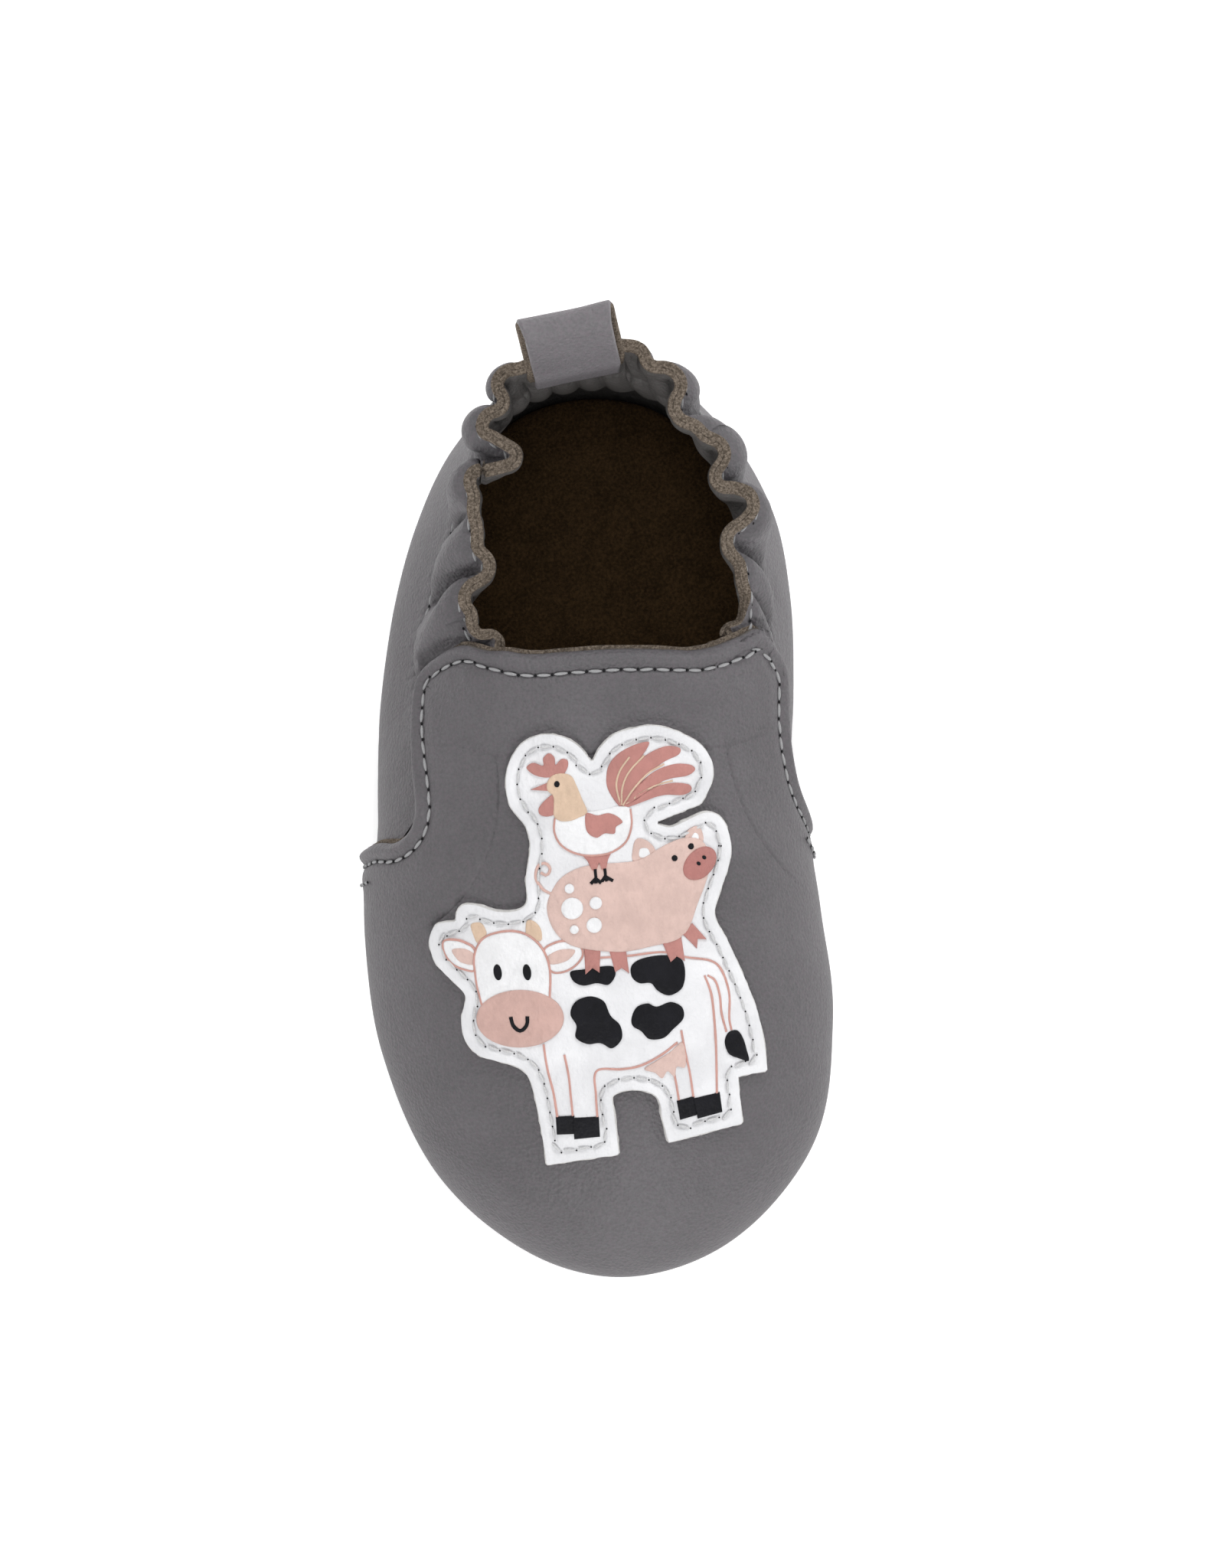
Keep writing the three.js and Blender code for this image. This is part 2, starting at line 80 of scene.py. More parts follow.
def makeCamera():
    data = bpy.data.cameras.new("studioCamera")
    data.sensor_fit = "VERTICAL"
    data.sensor_height = 36.0
    data.lens = studio["lens"]
    data.clip_start = 0.01
    data.clip_end = 20.0
    camera = bpy.data.objects.new("studioCamera", data)
    scene.collection.objects.link(camera)
    right = Vector(studio["cameraRight"]).normalized()
    up = Vector(studio["cameraUp"]).normalized()
    back = right.cross(up).normalized()
    turn = Matrix((right, up, back)).transposed().to_4x4()
    camera.matrix_world = Matrix.Translation(Vector(studio["cameraPlace"]) * mm) @ turn
    scene.camera = camera


def areaLight(name, place, power):
    data = bpy.data.lights.new(name, "AREA")
    data.shape = "DISK"
    data.size = studio["lampSize"]
    data.energy = power
    lamp = bpy.data.objects.new(name, data)
    scene.collection.objects.link(lamp)
    lamp.location = place
    toBootie = Vector(studio["lampTarget"]) - Vector(place)
    lamp.rotation_euler = toBootie.to_track_quat("-Z", "Y").to_euler()


def makeStudio():
    for name, (place, power) in studio["lamps"].items():
        areaLight(name, place, power)
    world = bpy.data.worlds.new("studioSky")
    world.use_nodes = True
    background = world.node_tree.nodes["Background"]
    background.inputs["Color"].default_value = (1.0, 1.0, 1.0, 1.0)
    background.inputs["Strength"].default_value = studio["skyStrength"]
    scene.world = world
    scene.view_settings.view_transform = "Standard"


makeCamera()
makeStudio()
print("camera and light are set")


# Shader maths

class Signal:  # a shader socket that Python's operators work on
    def __init__(self, finish, socket):
        self.finish = finish
        self.socket = socket

    def combine(self, operation, first, second):
        return self.finish.node("ShaderNodeMath", {"operation": operation}, {0: first, 1: second})

    def __add__(self, other):
        return self.combine("ADD", self, other)

    def __radd__(self, other):
        return self.combine("ADD", other, self)

    def __sub__(self, other):
        return self.combine("SUBTRACT", self, other)

    def __rsub__(self, other):
        return self.combine("SUBTRACT", other, self)

    def __mul__(self, other):
        return self.combine("MULTIPLY", self, other)

    def __rmul__(self, other):
        return self.combine("MULTIPLY", other, self)

    def step(self, low, high):  # smoothly 0 below low, 1 above high
        return self.finish.node("ShaderNodeMapRange", {"interpolation_type": "SMOOTHSTEP"},
                                {"Value": self, "From Min": low, "From Max": high})


class Finish:  # one material: its nodes, and the shader they feed
    def __init__(self, name, roughness=0.6, **constants):
        self.material = bpy.data.materials.new(name)
        self.material.use_nodes = True
        self.tree = self.material.node_tree
        self.shader = self.tree.nodes["Principled BSDF"]
        self.shader.inputs["Roughness"].default_value = roughness
        for socket, value in constants.items():
            self.shader.inputs[socket.replace("_", " ")].default_value = value
        self.place = self.node("ShaderNodeTexCoord", {}, {}, "Object")

    def node(self, kind, settings, inputs, output=0):
        node = self.tree.nodes.new(kind)
        for key, value in settings.items():
            setattr(node, key, value)
        for key, value in inputs.items():
            socket = node.inputs[key]
            if isinstance(value, Signal):
                self.tree.links.new(value.socket, socket)
            elif hasattr(socket.default_value,
                         "__len__") and len(value) == 3 and len(socket.default_value) == 4:
                socket.default_value = (*value, 1.0)
            else:
                socket.default_value = value
        return Signal(self, node.outputs[output])

    def noise(self, size, detail=4.0, roughness=0.5, stretch=(1, 1, 1), seed=0.0):  # size of one blotch in mm
        moved = self.node("ShaderNodeMapping", {"vector_type": "POINT"},
                          {"Vector": self.place, "Location": (seed, seed * 0.7, seed * 1.3),
                           "Scale": stretch})
        return self.node("ShaderNodeTexNoise", {"noise_dimensions": "3D"},
                         {"Vector": moved, "Scale": 1000.0 / size, "Detail": detail,
                          "Roughness": roughness}, "Fac")

    def cells(self, size):  # cells about size mm across
        return self.node("ShaderNodeTexVoronoi", {"voronoi_dimensions": "3D", "feature": "F1"},
                         {"Vector": self.place, "Scale": 1000.0 / size, "Randomness": 1.0}, "Distance")

    def mix(self, factor, first, second):
        return self.node("ShaderNodeMix", {"data_type": "RGBA", "blend_type": "MIX"},
                         {0: factor, 6: first, 7: second}, 2)

    def feed(self, socket, signal):
        self.tree.links.new(signal.socket, self.shader.inputs[socket])

    def relief(self, *layers):  # (height signal, depth in mm) pairs, coarse first
        bump = None
        for height, depth in layers:
            inputs = {"Height": height, "Distance": depth * mm, "Strength": 1.0}
            if bump:
                inputs["Normal"] = bump
            bump = self.node("ShaderNodeBump", {}, inputs, "Normal")
        self.feed("Normal", bump)


def greyLeather(name="greyLeather", colour=(0.088, 0.084, 0.089), wrinkle=1.0):
    finish = Finish(name, Specular_IOR_Level=0.42)
    pores = finish.cells(0.55)
    pebble = finish.noise(0.42, 3.0, 0.55)
    creases = finish.noise(1.9, 5.0, 0.62, (1.0, 0.55, 1.0), 3.1)
    folds = finish.noise(9.0, 3.0, 0.5, (0.5, 1.0, 1.0), 7.7)
    patches = finish.noise(16.0, 3.0, 0.5, seed=1.7)
    darker = tuple(c * 0.86 for c in colour)
    lighter = tuple(c * 1.13 for c in colour)
    tone = finish.mix(patches.step(0.3, 0.7), darker, lighter)
    tone = finish.mix((1.0 - pores.step(0.0, 0.5)) * 0.25, tone, tuple(c * 0.6 for c in colour))
    tone = finish.mix(creases.step(0.52, 0.75) * 0.2, tone, tuple(c * 1.4 for c in colour))
    tone = finish.mix(pebble.step(0.35, 0.65) * 0.3, tone, tuple(c * 0.6 for c in colour))
    tone = finish.mix(finish.noise(0.5, 2.0, 0.6, seed=12.0).step(0.4, 0.7) * 0.35, tone,
                      (colour[0] * 1.22, colour[1] * 0.98, colour[2] * 1.1))
    finish.feed("Base Color", tone)
    finish.feed("Roughness", 0.44 + 0.16 * pebble + 0.10 * patches)
    finish.relief((folds, 0.16 * wrinkle), (creases, 0.2 * wrinkle), (pores, 0.11), (pebble, 0.15))
    return finish.material


def suede(name, dark, light, size=1.0, depth=0.12, grain=0.55, spread=0.25, roughness=0.95):
    finish = Finish(name, roughness, Specular_IOR_Level=0.18)
    nap = finish.noise(0.35 * size, 5.0, 0.7)
    blotch = finish.noise(4.5 * size, 4.0, 0.65, seed=5.0)
    fibre = finish.noise(0.16 * size, 2.0, 0.6, seed=9.0)
    finish.feed("Base Color",
                finish.mix((nap * grain + blotch * (1.15 - grain) - 0.1).step(0.5 - spread, 0.5 + spread),
                           dark, light))
    finish.relief((blotch, depth * 0.8), (nap, depth), (fibre, depth * 0.5))
    return finish.material


def whiteLeather():
    finish = Finish("whiteLeather", 0.52, Specular_IOR_Level=0.4)
    wrinkles = finish.noise(1.1, 5.0, 0.6, (1.0, 0.6, 1.0))
    pores = finish.cells(0.6)
    patches = finish.noise(7.0, 3.0, 0.5, seed=2.0)
    tone = finish.mix(patches.step(0.3, 0.75), (0.58, 0.58, 0.595), (0.68, 0.68, 0.695))
    finish.feed("Base Color", tone)
    finish.feed("Roughness", 0.45 + 0.2 * wrinkles)
    finish.relief((patches, 0.14), (wrinkles, 0.28), (pores, 0.05))
    return finish.material


def printInk(name, colour, light=1.1, roughness=0.5, gloss=0.4):
    finish = Finish(name, roughness, Specular_IOR_Level=gloss)
    wrinkles = finish.noise(0.9, 5.0, 0.62, (1.0, 0.6, 1.0), 4.0)
    patches = finish.noise(3.5, 3.0, 0.5, seed=6.0)
    pores = finish.cells(0.5)
    low = tuple(c * 0.93 for c in colour)
    high = tuple(min(1.0, c * light) for c in colour)
    finish.feed("Base Color", finish.mix((patches * 0.6 + wrinkles * 0.5).step(0.35, 0.75), low, high))
    finish.relief((wrinkles, 0.25), (pores, 0.05))
    return finish.material


def thread(name, colour):
    finish = Finish(name, 0.8, Specular_IOR_Level=0.25)
    fibre = finish.noise(0.12, 3.0, 0.6, (1.0, 1.0, 1.0), 2.0)
    finish.feed("Base Color", finish.mix(fibre.step(0.3, 0.7), tuple(c * 0.7 for c in colour), colour))
    finish.relief((fibre, 0.06))
    return finish.material


def plainFinish(name, colour, roughness=0.9):
    finish = Finish(name, roughness, Specular_IOR_Level=0.1)
    grain = finish.noise(0.4, 3.0)
    finish.feed("Base Color", finish.mix(grain, tuple(c * 0.85 for c in colour), colour))
    return finish.material


finishes = {
    "leather": greyLeather(),
    # the upper's grey leather made about half again lighter: painted light on the heel loop
    "litLoopLeather": greyLeather("litLoopLeather", (0.138, 0.132, 0.139), 0.35),
    "rawEdge": suede("rawEdge", (0.085, 0.067, 0.051), (0.255, 0.208, 0.165), 0.9, 0.3, 1.0, 0.14),
    "vampEdge": suede("vampEdge", (0.07, 0.064, 0.06), (0.17, 0.152, 0.136), 0.8, 0.12),
    "flesh": suede("flesh", (0.026, 0.024, 0.022), (0.075, 0.071, 0.068), 1.0, 0.1),
    "liningLeather": greyLeather("liningLeather", (0.082, 0.079, 0.075), 1.2),
    "insole": suede("insoleSuede", (0.036, 0.0205, 0.0085), (0.125, 0.072, 0.030), 1.1, 0.25, 0.85, 0.2),
    "outsole": suede("outsoleSuede", (0.10, 0.082, 0.066), (0.24, 0.205, 0.17), 1.2, 0.18),
    "foam": plainFinish("foam", (0.72, 0.68, 0.58)),
    "elastic": plainFinish("elasticBand", (0.62, 0.60, 0.57)),
    "white": whiteLeather(),
    # the patch's cut edge: partly its own greyish raw edge, partly painted shade on the patch's sides
    "whiteEdgeAndShade": suede("whiteEdgeAndShade", (0.42, 0.41, 0.40), (0.66, 0.65, 0.64), 0.8, 0.12),
    "thread": thread("greyThread", (0.33, 0.33, 0.335)),
    "paleThread": thread("paleThread", (0.58, 0.58, 0.585)),
    # near-black finish for the needle holes: painted shade standing in for the shade inside each hole
    "holeShade": plainFinish("needleHoleShade", (0.012, 0.012, 0.013)),
    "pink": printInk("pigPink", (0.52, 0.375, 0.335)),
    "muzzle": printInk("muzzlePink", (0.47, 0.305, 0.268)),
    "rose": printInk("rose", (0.37, 0.165, 0.145)),
    "deepRose": printInk("deepRose", (0.33, 0.135, 0.12)),
    "beige": printInk("beige", (0.53, 0.39, 0.285)),
    "black": printInk("inkBlack", (0.004, 0.004, 0.0055), 1.8, 0.55, 0.14),
    "inkWhite": printInk("inkWhite", (0.67, 0.67, 0.68), 1.05),
    "line": printInk("lineRose", (0.46, 0.25, 0.215)),
    "palePink": printInk("palePink", (0.50, 0.33, 0.29)),
}
print("finishes are mixed:", len(finishes))


# Mesh helpers

def makeObject(name, points, faces, materials, slots=None):
    mesh = bpy.data.meshes.new(name)
    mesh.from_pydata((np.asarray(points) * mm).tolist(), [], faces)
    for material in materials:
        mesh.materials.append(material)
    if slots is not None:
        mesh.polygons.foreach_set("material_index", np.asarray(slots, np.int32))
    mesh.polygons.foreach_set("use_smooth", np.ones(len(mesh.polygons), bool))
    mesh.update()
    piece = bpy.data.objects.new(name, mesh)
    scene.collection.objects.link(piece)
    return piece


def settle(piece, body, replaced=()):
    if body == "hinge":  # a piece across the line where the tongue lifts: baked in place, attached to no body
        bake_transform(piece)
    else:
        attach(piece, body)
    if replaced:
        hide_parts(*replaced)


def gridFaces(rows, columns, start=0, closed=False, flip=False):
    spans = columns if closed else columns - 1
    row, column = np.meshgrid(np.arange(rows - 1), np.arange(spans), indexing="ij")
    beside = (column + 1) % columns
    corners = [row * columns + column, (row + 1) * columns + column, (row + 1) * columns + beside,
               row * columns + beside]
    faces = np.stack(corners, -1).reshape(-1, 4) + start
    return faces[:, ::-1] if flip else faces


def smoothStep(low, high, value):
    share = np.clip((value - low) / (high - low), 0, 1)
    return share * share * (3 - 2 * share)


def unit(vectors):
    return vectors / np.maximum(np.linalg.norm(vectors, axis=-1, keepdims=True), 1e-12)


def cubic(part, start, end, leave, arrive):
    return ((2 * part**3 - 3 * part**2 + 1) * start + (part**3 - 2 * part**2 + part) * leave
            + (-2 * part**3 + 3 * part**2) * end + (part**3 - part**2) * arrive)


def closedCurve(points, along):
    points = np.asarray(points, float)
    count = len(points)
    along = np.asarray(along, float) % 1 * count
    first = np.floor(along).astype(int)
    part = (along - first)[..., None]
    before, start, end, after = (points[(first + k) % count] for k in (-1, 0, 1, 2))
    return cubic(part, start, end, (end - before) / 2, (after - start) / 2)


def openCurve(points, count):  # an even Catmull-Rom run of count points through the given ones
    points = np.asarray(points, float)
    padded = np.vstack([2 * points[0] - points[1], points, 2 * points[-1] - points[-2]])
    along = np.linspace(0, len(points) - 1, 24 * len(points))
    first = np.minimum(np.floor(along).astype(int), len(points) - 2)
    part = (along - first)[:, None]
    before, start, end, after = (padded[first + k] for k in (0, 1, 2, 3))
    return evenly(cubic(part, start, end, (end - before) / 2, (after - start) / 2), count)


def evenly(path, count, measured=None):  # resamples a path; measured gives the points whose distances count
    measured = path if measured is None else measured
    length = np.concatenate([[0], np.cumsum(np.linalg.norm(np.diff(measured, axis=0), axis=1))])
    wanted = np.linspace(0, length[-1], count)
    return np.stack([np.interp(wanted, length, path[:, k]) for k in range(path.shape[1])], -1)


def softNoise(positions, size, seed):  # smooth value noise of about -1 to 1, blotches of size mm
    random = np.random.default_rng(seed)
    table = random.uniform(-1, 1, (32, 32, 32))
    scaled = positions / size + 100
    cell = np.floor(scaled).astype(int)
    part = scaled - cell
    part = part * part * (3 - 2 * part)
    total = 0
    for corner in range(8):
        bits = np.array([corner & 1, corner >> 1 & 1, corner >> 2 & 1])
        weight = np.prod(np.where(bits, part, 1 - part), axis=-1)
        index = (cell + bits) % 32
        total = total + weight * table[index[..., 0], index[..., 1], index[..., 2]]
    return total


# The upper's form, as the frame has it

form = {
    "halfWidth": 31.5, "halfLength": 63.0, "widestHeight": 10.0, "throatHeight": 38.0, "throatY": 20.0,
    "toeBoxRise": 16.0, "toeBoxLength": 40.0, "rimFrontHeight": 34.0, "rimHeelHeight": 47.0,
    "seamInset": 5.0, "flangeWidth": 6.0, "vampFlange": 4.7, "quarterFlange": 2.5,
}
layers = {"quarterOuter": 0.4, "vampInner": 1.5, "vampOuter": 2.6}

footprint = np.array([
    (-0.016, -0.992), (-0.413, -0.933), (-0.787, -0.754), (-0.984, -0.492), (-1.025, -0.238), (-1.01, -0.048),
    (-0.99, 0.127), (-0.952, 0.302), (-0.867, 0.508), (-0.746, 0.69), (-0.556, 0.857), (-0.286, 0.971),
    (0.048, 1.008), (0.397, 0.968), (0.683, 0.841), (0.851, 0.667), (0.908, 0.476), (0.895, 0.27),
    (0.857, 0.095), (0.844, -0.063), (0.87, -0.254), (0.889, -0.492), (0.771, -0.746), (0.413, -0.93),
]) * (form["halfWidth"], form["halfLength"])
opening = np.array([
    (0.079, 0.317), (0, 0.317), (-0.079, 0.317), (-0.159, 0.317), (-0.238, 0.317), (-0.333, 0.325),
    (-0.429, 0.357), (-0.508, 0.429), (-0.492, 0.548), (-0.46, 0.683), (-0.397, 0.817), (-0.254, 0.93),
    (0, 0.973), (0.254, 0.965), (0.444, 0.865), (0.571, 0.738), (0.651, 0.611), (0.66, 0.476),
    (0.619, 0.381), (0.524, 0.333), (0.413, 0.317), (0.317, 0.317), (0.238, 0.317), (0.159, 0.317),
]) * (form["halfWidth"], form["halfLength"])

outlineRun = closedCurve(footprint, np.linspace(0, 1, 2881)[:-1])
toeAt = int(outlineRun[:, 1].argmin())
outlineRun = np.roll(outlineRun, -toeAt, 0)
heelAt = int(outlineRun[:, 1].argmax())
leftRun = outlineRun[:heelAt + 1]
rightRun = np.vstack([outlineRun[heelAt:], outlineRun[:1]])[::-1]
toeY = outlineRun[0, 1]


def ridgeHeight(y):
    nearToe = np.clip((y - toeY) / form["toeBoxLength"], 0, 1)
    alongVamp = np.clip((y - toeY) / (form["throatY"] - toeY), 0, 2)
    rise = form["throatHeight"] - form["widestHeight"] - form["toeBoxRise"]
    return form["widestHeight"] + form["toeBoxRise"] * np.sqrt(1 - (1 - nearToe) ** 2) + rise * alongVamp**1.2


def archHeight(x, y):
    left = np.interp(y, leftRun[:, 1], leftRun[:, 0])
    right = np.interp(y, rightRun[:, 1], rightRun[:, 0])
    side = np.clip(np.abs(x - (left + right) / 2) / np.maximum((right - left) / 2, 1e-6), 0, 1)
    rise = ridgeHeight(y) - form["widestHeight"]
    return form["widestHeight"] + rise * np.sqrt(np.maximum(1 - side**2.2, 0))


def inwardAt(curve, u):
    along = unit(closedCurve(curve, u + 1e-3) - closedCurve(curve, u - 1e-3))
    return np.stack([along[..., 1], -along[..., 0]], -1)


def formPoint(u, v):  # v: -1 flange's inner edge, 0 sole seam, 1 widest level, 2 rim or throat
    u, v = np.broadcast_arrays(np.asarray(u, float), np.asarray(v, float))
    foot, rim = closedCurve(footprint, u), closedCurve(opening, u)
    wallShare = smoothStep(-4, 24, foot[..., 1])
    seam = form["vampFlange"] + (form["quarterFlange"] - form["vampFlange"]) * smoothStep(-1, 14,
                                                                                          foot[..., 1])
    turn = -math.pi / 2 * (1 - np.clip(v, 0, 1))
    inset = form["seamInset"] * (1 - np.cos(turn)) + form["flangeWidth"] * np.clip(-v, 0, 1)
    lowPlan = foot + inwardAt(footprint, u) * inset[..., None]
    lowZ = form["widestHeight"] + (form["widestHeight"] - seam) * np.sin(turn)
    rise = np.clip(v - 1, 0, 1)
    share = (1 - wallShare) * (1 - np.cos(rise * math.pi / 2)) + wallShare * rise * rise * (3 - 2 * rise)
    plan = foot + (rim - foot) * share[..., None]
    heelRise = form["rimHeelHeight"] - form["rimFrontHeight"]
    rimZ = form["rimFrontHeight"] + heelRise * smoothStep(14, 64, rim[..., 1])
    wallZ = form["widestHeight"] + (rimZ - form["widestHeight"]) * rise
    highZ = (1 - wallShare) * archHeight(plan[..., 0], plan[..., 1]) + wallShare * wallZ
    low = v < 1
    return np.concatenate([np.where(low[..., None], lowPlan, plan), np.where(low, lowZ, highZ)[..., None]],
                          -1)


def formSlopes(u, v, step=2e-3):
    alongU = (formPoint(u + step, v) - formPoint(u - step, v)) / (2 * step)
    high, low = np.minimum(v + step, 2), np.maximum(v - step, -1)
    alongV = (formPoint(u, high) - formPoint(u, low)) / (high - low)[..., None]
    return alongU, alongV


def formNormal(u, v):
    alongU, alongV = formSlopes(u, v)
    return unit(np.cross(alongV, alongU))


# Vamp and tongue, one piece of leather

vamp = {
    "columns": 450, "bodyColumns": 240, "bodyRows": 96, "bodyFrom": 9.8, "bodyTuck": 0.012, "evenings": 7,
    "innerEvenings": 6,
    "innerDistances": [5.9, 6.6, 7.4, 8.2, 9.0, 9.8, 10.6, 11.4, 12.2, 13.0], "edgeRadius": 0.8,
    "edgeThickness": 0.35,
    "lipDistances": [0, 0.1, 0.25, 0.45, 0.7, 1.0, 1.4, 1.8, 2.1, 2.4, 2.6, 2.8, 3.1, 3.6, 4.3, 5.2],
    "stitchInset": 2.6, "lipPuff": 0.6, "dent": 0.55, "stitchGroove": 0.3, "waviness": 0.22, "topReach": 1.0,
}
# The rear edge, from the left sole seam up the wing, round the tongue and down to the right seam, as (u, v)
vampRearEdge = [
    (0.212, -1), (0.212, -0.4), (0.212, 0.2), (0.2125, 0.7), (0.2115, 1.0), (0.2085, 1.15), (0.2055, 1.24),
    (0.2, 1.315), (0.1915, 1.39), (0.186, 1.45), (0.184, 1.50), (0.1875, 1.527), (0.197, 1.539),
    (0.208, 1.544),
    (0.221, 1.545), (0.2365, 1.538), (0.25, 1.530), (0.262, 1.527), (0.2715, 1.542), (0.2765, 1.59),
    (0.277, 1.665),
    (0.275, 1.78), (0.270, 1.89), (0.260, 1.96), (0.239, 1.994), (0.2, 2.0), (0.16, 2.0), (0.12, 2.0),
    (0.06, 2.0),
    (0.0, 2.0), (-0.06, 2.0), (-0.12, 2.0), (-0.168, 2.0), (-0.207, 1.998), (-0.238, 1.98), (-0.258, 1.92),
    (-0.2675, 1.82), (-0.2715, 1.70), (-0.2735, 1.59), (-0.272, 1.525), (-0.265, 1.50), (-0.2535, 1.49),
    (-0.244, 1.478), (-0.236, 1.456), (-0.2295, 1.43), (-0.224, 1.395), (-0.2195, 1.345), (-0.218, 1.27),
    (-0.2165, 1.15), (-0.2145, 1.0), (-0.213, 0.7), (-0.213, 0.2), (-0.213, -0.4), (-0.213, -1),
]


def edgeWise(uv, distance):  # moves a run of (u, v) points inwards on the surface, at right angles to the run
    u, v = uv[:, 0], uv[:, 1]
    points = formPoint(u, v)
    alongU, alongV = formSlopes(u, v)
    inward = np.cross(unit(np.gradient(points, axis=0)), unit(np.cross(alongV, alongU)))
    inward = unit(inward) * distance
    uu, uv2, vv = (alongU * alongU).sum(-1), (alongU * alongV).sum(-1), (alongV * alongV).sum(-1)
    bu, bv = (alongU * inward).sum(-1), (alongV * inward).sum(-1)
    det = uu * vv - uv2 * uv2
    moved = np.stack([u + (bu * vv - bv * uv2) / det, v + (bv * uu - bu * uv2) / det], -1)
    moved[:, 1] = np.clip(moved[:, 1], -1, 2)
    return moved


def relaxed(run, times=2):  # evens out a run without moving its ends
    run = run.copy()
    for _ in range(times):
        run[1:-1] = (run[:-2] + 2 * run[1:-1] + run[2:]) / 4
    return run


def distanceFrom(rim, row):  # how far each (u, v) of a row lies from a run of points
    return np.linalg.norm(formPoint(*row.T)[:, None] - rim[None], axis=-1).min(1)


def insideOutline(query, outline):
    crossings = np.zeros(len(query), int)
    for (x0, y0), (x1, y1) in zip(outline, np.roll(outline, -1, 0)):
        if y0 != y1:
            between = (query[:, 1] > min(y0, y1)) & (query[:, 1] <= max(y0, y1))
            crossings += between & (query[:, 0] < x0 + (query[:, 1] - y0) / (y1 - y0) * (x1 - x0))
    return crossings % 2 == 1


def vampGrid():
    dense = openCurve(vampRearEdge, 3000)
    edge = relaxed(evenly(dense, vamp["columns"], formPoint(dense[:, 0], dense[:, 1])), vamp["evenings"])
    rows, distances = [edge], vamp["lipDistances"]
    for previous, distance in zip(distances, distances[1:]):
        rows.append(relaxed(edgeWise(rows[-1], distance - previous), 1))
    inner = vamp["innerDistances"]
    for previous, distance in zip([distances[-1], *inner], inner):
        rows.append(relaxed(edgeWise(rows[-1], distance - previous), vamp["innerEvenings"]))
    rim = formPoint(*evenly(dense, 700, formPoint(*dense.T)).T)
    away = [np.full(vamp["columns"], float(distance)) for distance in distances]
    away += [distanceFrom(rim, row) for row in rows[len(distances):]]
    levels = np.concatenate([np.linspace(2, 1, vamp["bodyRows"]),
                             np.linspace(0.97, -1, vamp["bodyRows"] // 2)])
    u, v = np.meshgrid(np.linspace(0.3, -0.3, vamp["bodyColumns"]), levels)
    body = np.stack([u, v], -1)
    bodyAway = np.array([distanceFrom(rim, row) for row in body])
    within = insideOutline(body.reshape(-1, 2), edge).reshape(u.shape) & (bodyAway > vamp["bodyFrom"])
    return np.array(rows), np.array(away), body, bodyAway, within


def reachBack(base, u, share):  # draws the tongue's top edge over the opening, less on its left half
    share = smoothStep(0.265, 0.2, np.abs(u)) * share * (1 - 0.6 * smoothStep(0.02, -0.2, u))
    base[..., 1] += vamp["topReach"] * share
    base[..., 2] += 0.35 * vamp["topReach"] * share


def vampSurface(uv, distance, tuck=0.0):
    u, v = uv[..., 0], uv[..., 1]
    base, normal = formPoint(u, v), formNormal(u, v)
    rounded = np.sqrt(np.clip(1 - (1 - np.minimum(distance / vamp["edgeRadius"], 1)) ** 2, 0, 1))
    thick = (layers["vampOuter"] - layers["vampInner"])
    lift = thick * (vamp["edgeThickness"] + (1 - vamp["edgeThickness"]) * rounded)
    lift = lift + vamp["lipPuff"] * np.exp(-(((distance - 1.15) / 0.8) ** 2))
    lift = lift - vamp["stitchGroove"] * np.exp(-(((distance - vamp["stitchInset"]) / 0.5) ** 2))
    lift = lift + 0.2 * np.exp(-(((distance - 4.4) / 1.3) ** 2))
    reachBack(base, u, smoothStep(1.7, 2.0, v) * smoothStep(9, 0, distance))
    dent = np.exp(-(((distance - 7.6) / 2.2) ** 2)) * np.exp(-((u / 0.12) ** 4)) * smoothStep(1.6, 1.85, v)
    lift = lift - vamp["dent"] * dent
    far = smoothStep(4, 12, distance)
    lift = lift + vamp["waviness"] * far * (softNoise(base, 19.0, 3) + 0.45 * softNoise(base, 8.0, 4))
    sole = smoothStep(0.0, 0.8, v)  # the flange stays flat on the sole
    lift = np.where(v < 0.8, thick + (lift - thick) * sole, lift) - tuck * smoothStep(12.9, 12.2, distance)
    return base + normal * (layers["vampInner"] + lift)[..., None], base + normal * layers["vampInner"]


def shell(name, outer, inner, materials, edgeSlot, innerSlot=None):
    rows, columns = outer.shape[:2]
    count = rows * columns
    faces = [gridFaces(rows, columns, flip=True), gridFaces(rows, columns, count)]
    slots = [np.zeros(len(faces[0]), int),
             np.full(len(faces[1]), edgeSlot if innerSlot is None else innerSlot)]
    index = np.arange(count).reshape(rows, columns)
    for line, flip in ((index[0], True), (index[-1], False), (index[:, 0], False), (index[:, -1], True)):
        wall = np.stack([line[:-1], line[1:], line[1:] + count, line[:-1] + count], -1)
        faces.append(wall[:, ::-1] if flip else wall)
        slots.append(np.full(len(wall), edgeSlot))
    points = np.concatenate([outer.reshape(-1, 3), inner.reshape(-1, 3)])
    faces = np.concatenate(faces)
    piece = makeObject(name, points, faces.tolist(), materials, np.concatenate(slots))
    return piece, points, faces


def joined(parts):  # one run of points and faces from several
    points, faces, start = [], [], 0
    for partPoints, partFaces in parts:
        points.append(partPoints)
        faces.append(np.asarray(partFaces) + start)
        start += len(partPoints)
    return np.concatenate(points), np.concatenate(faces)


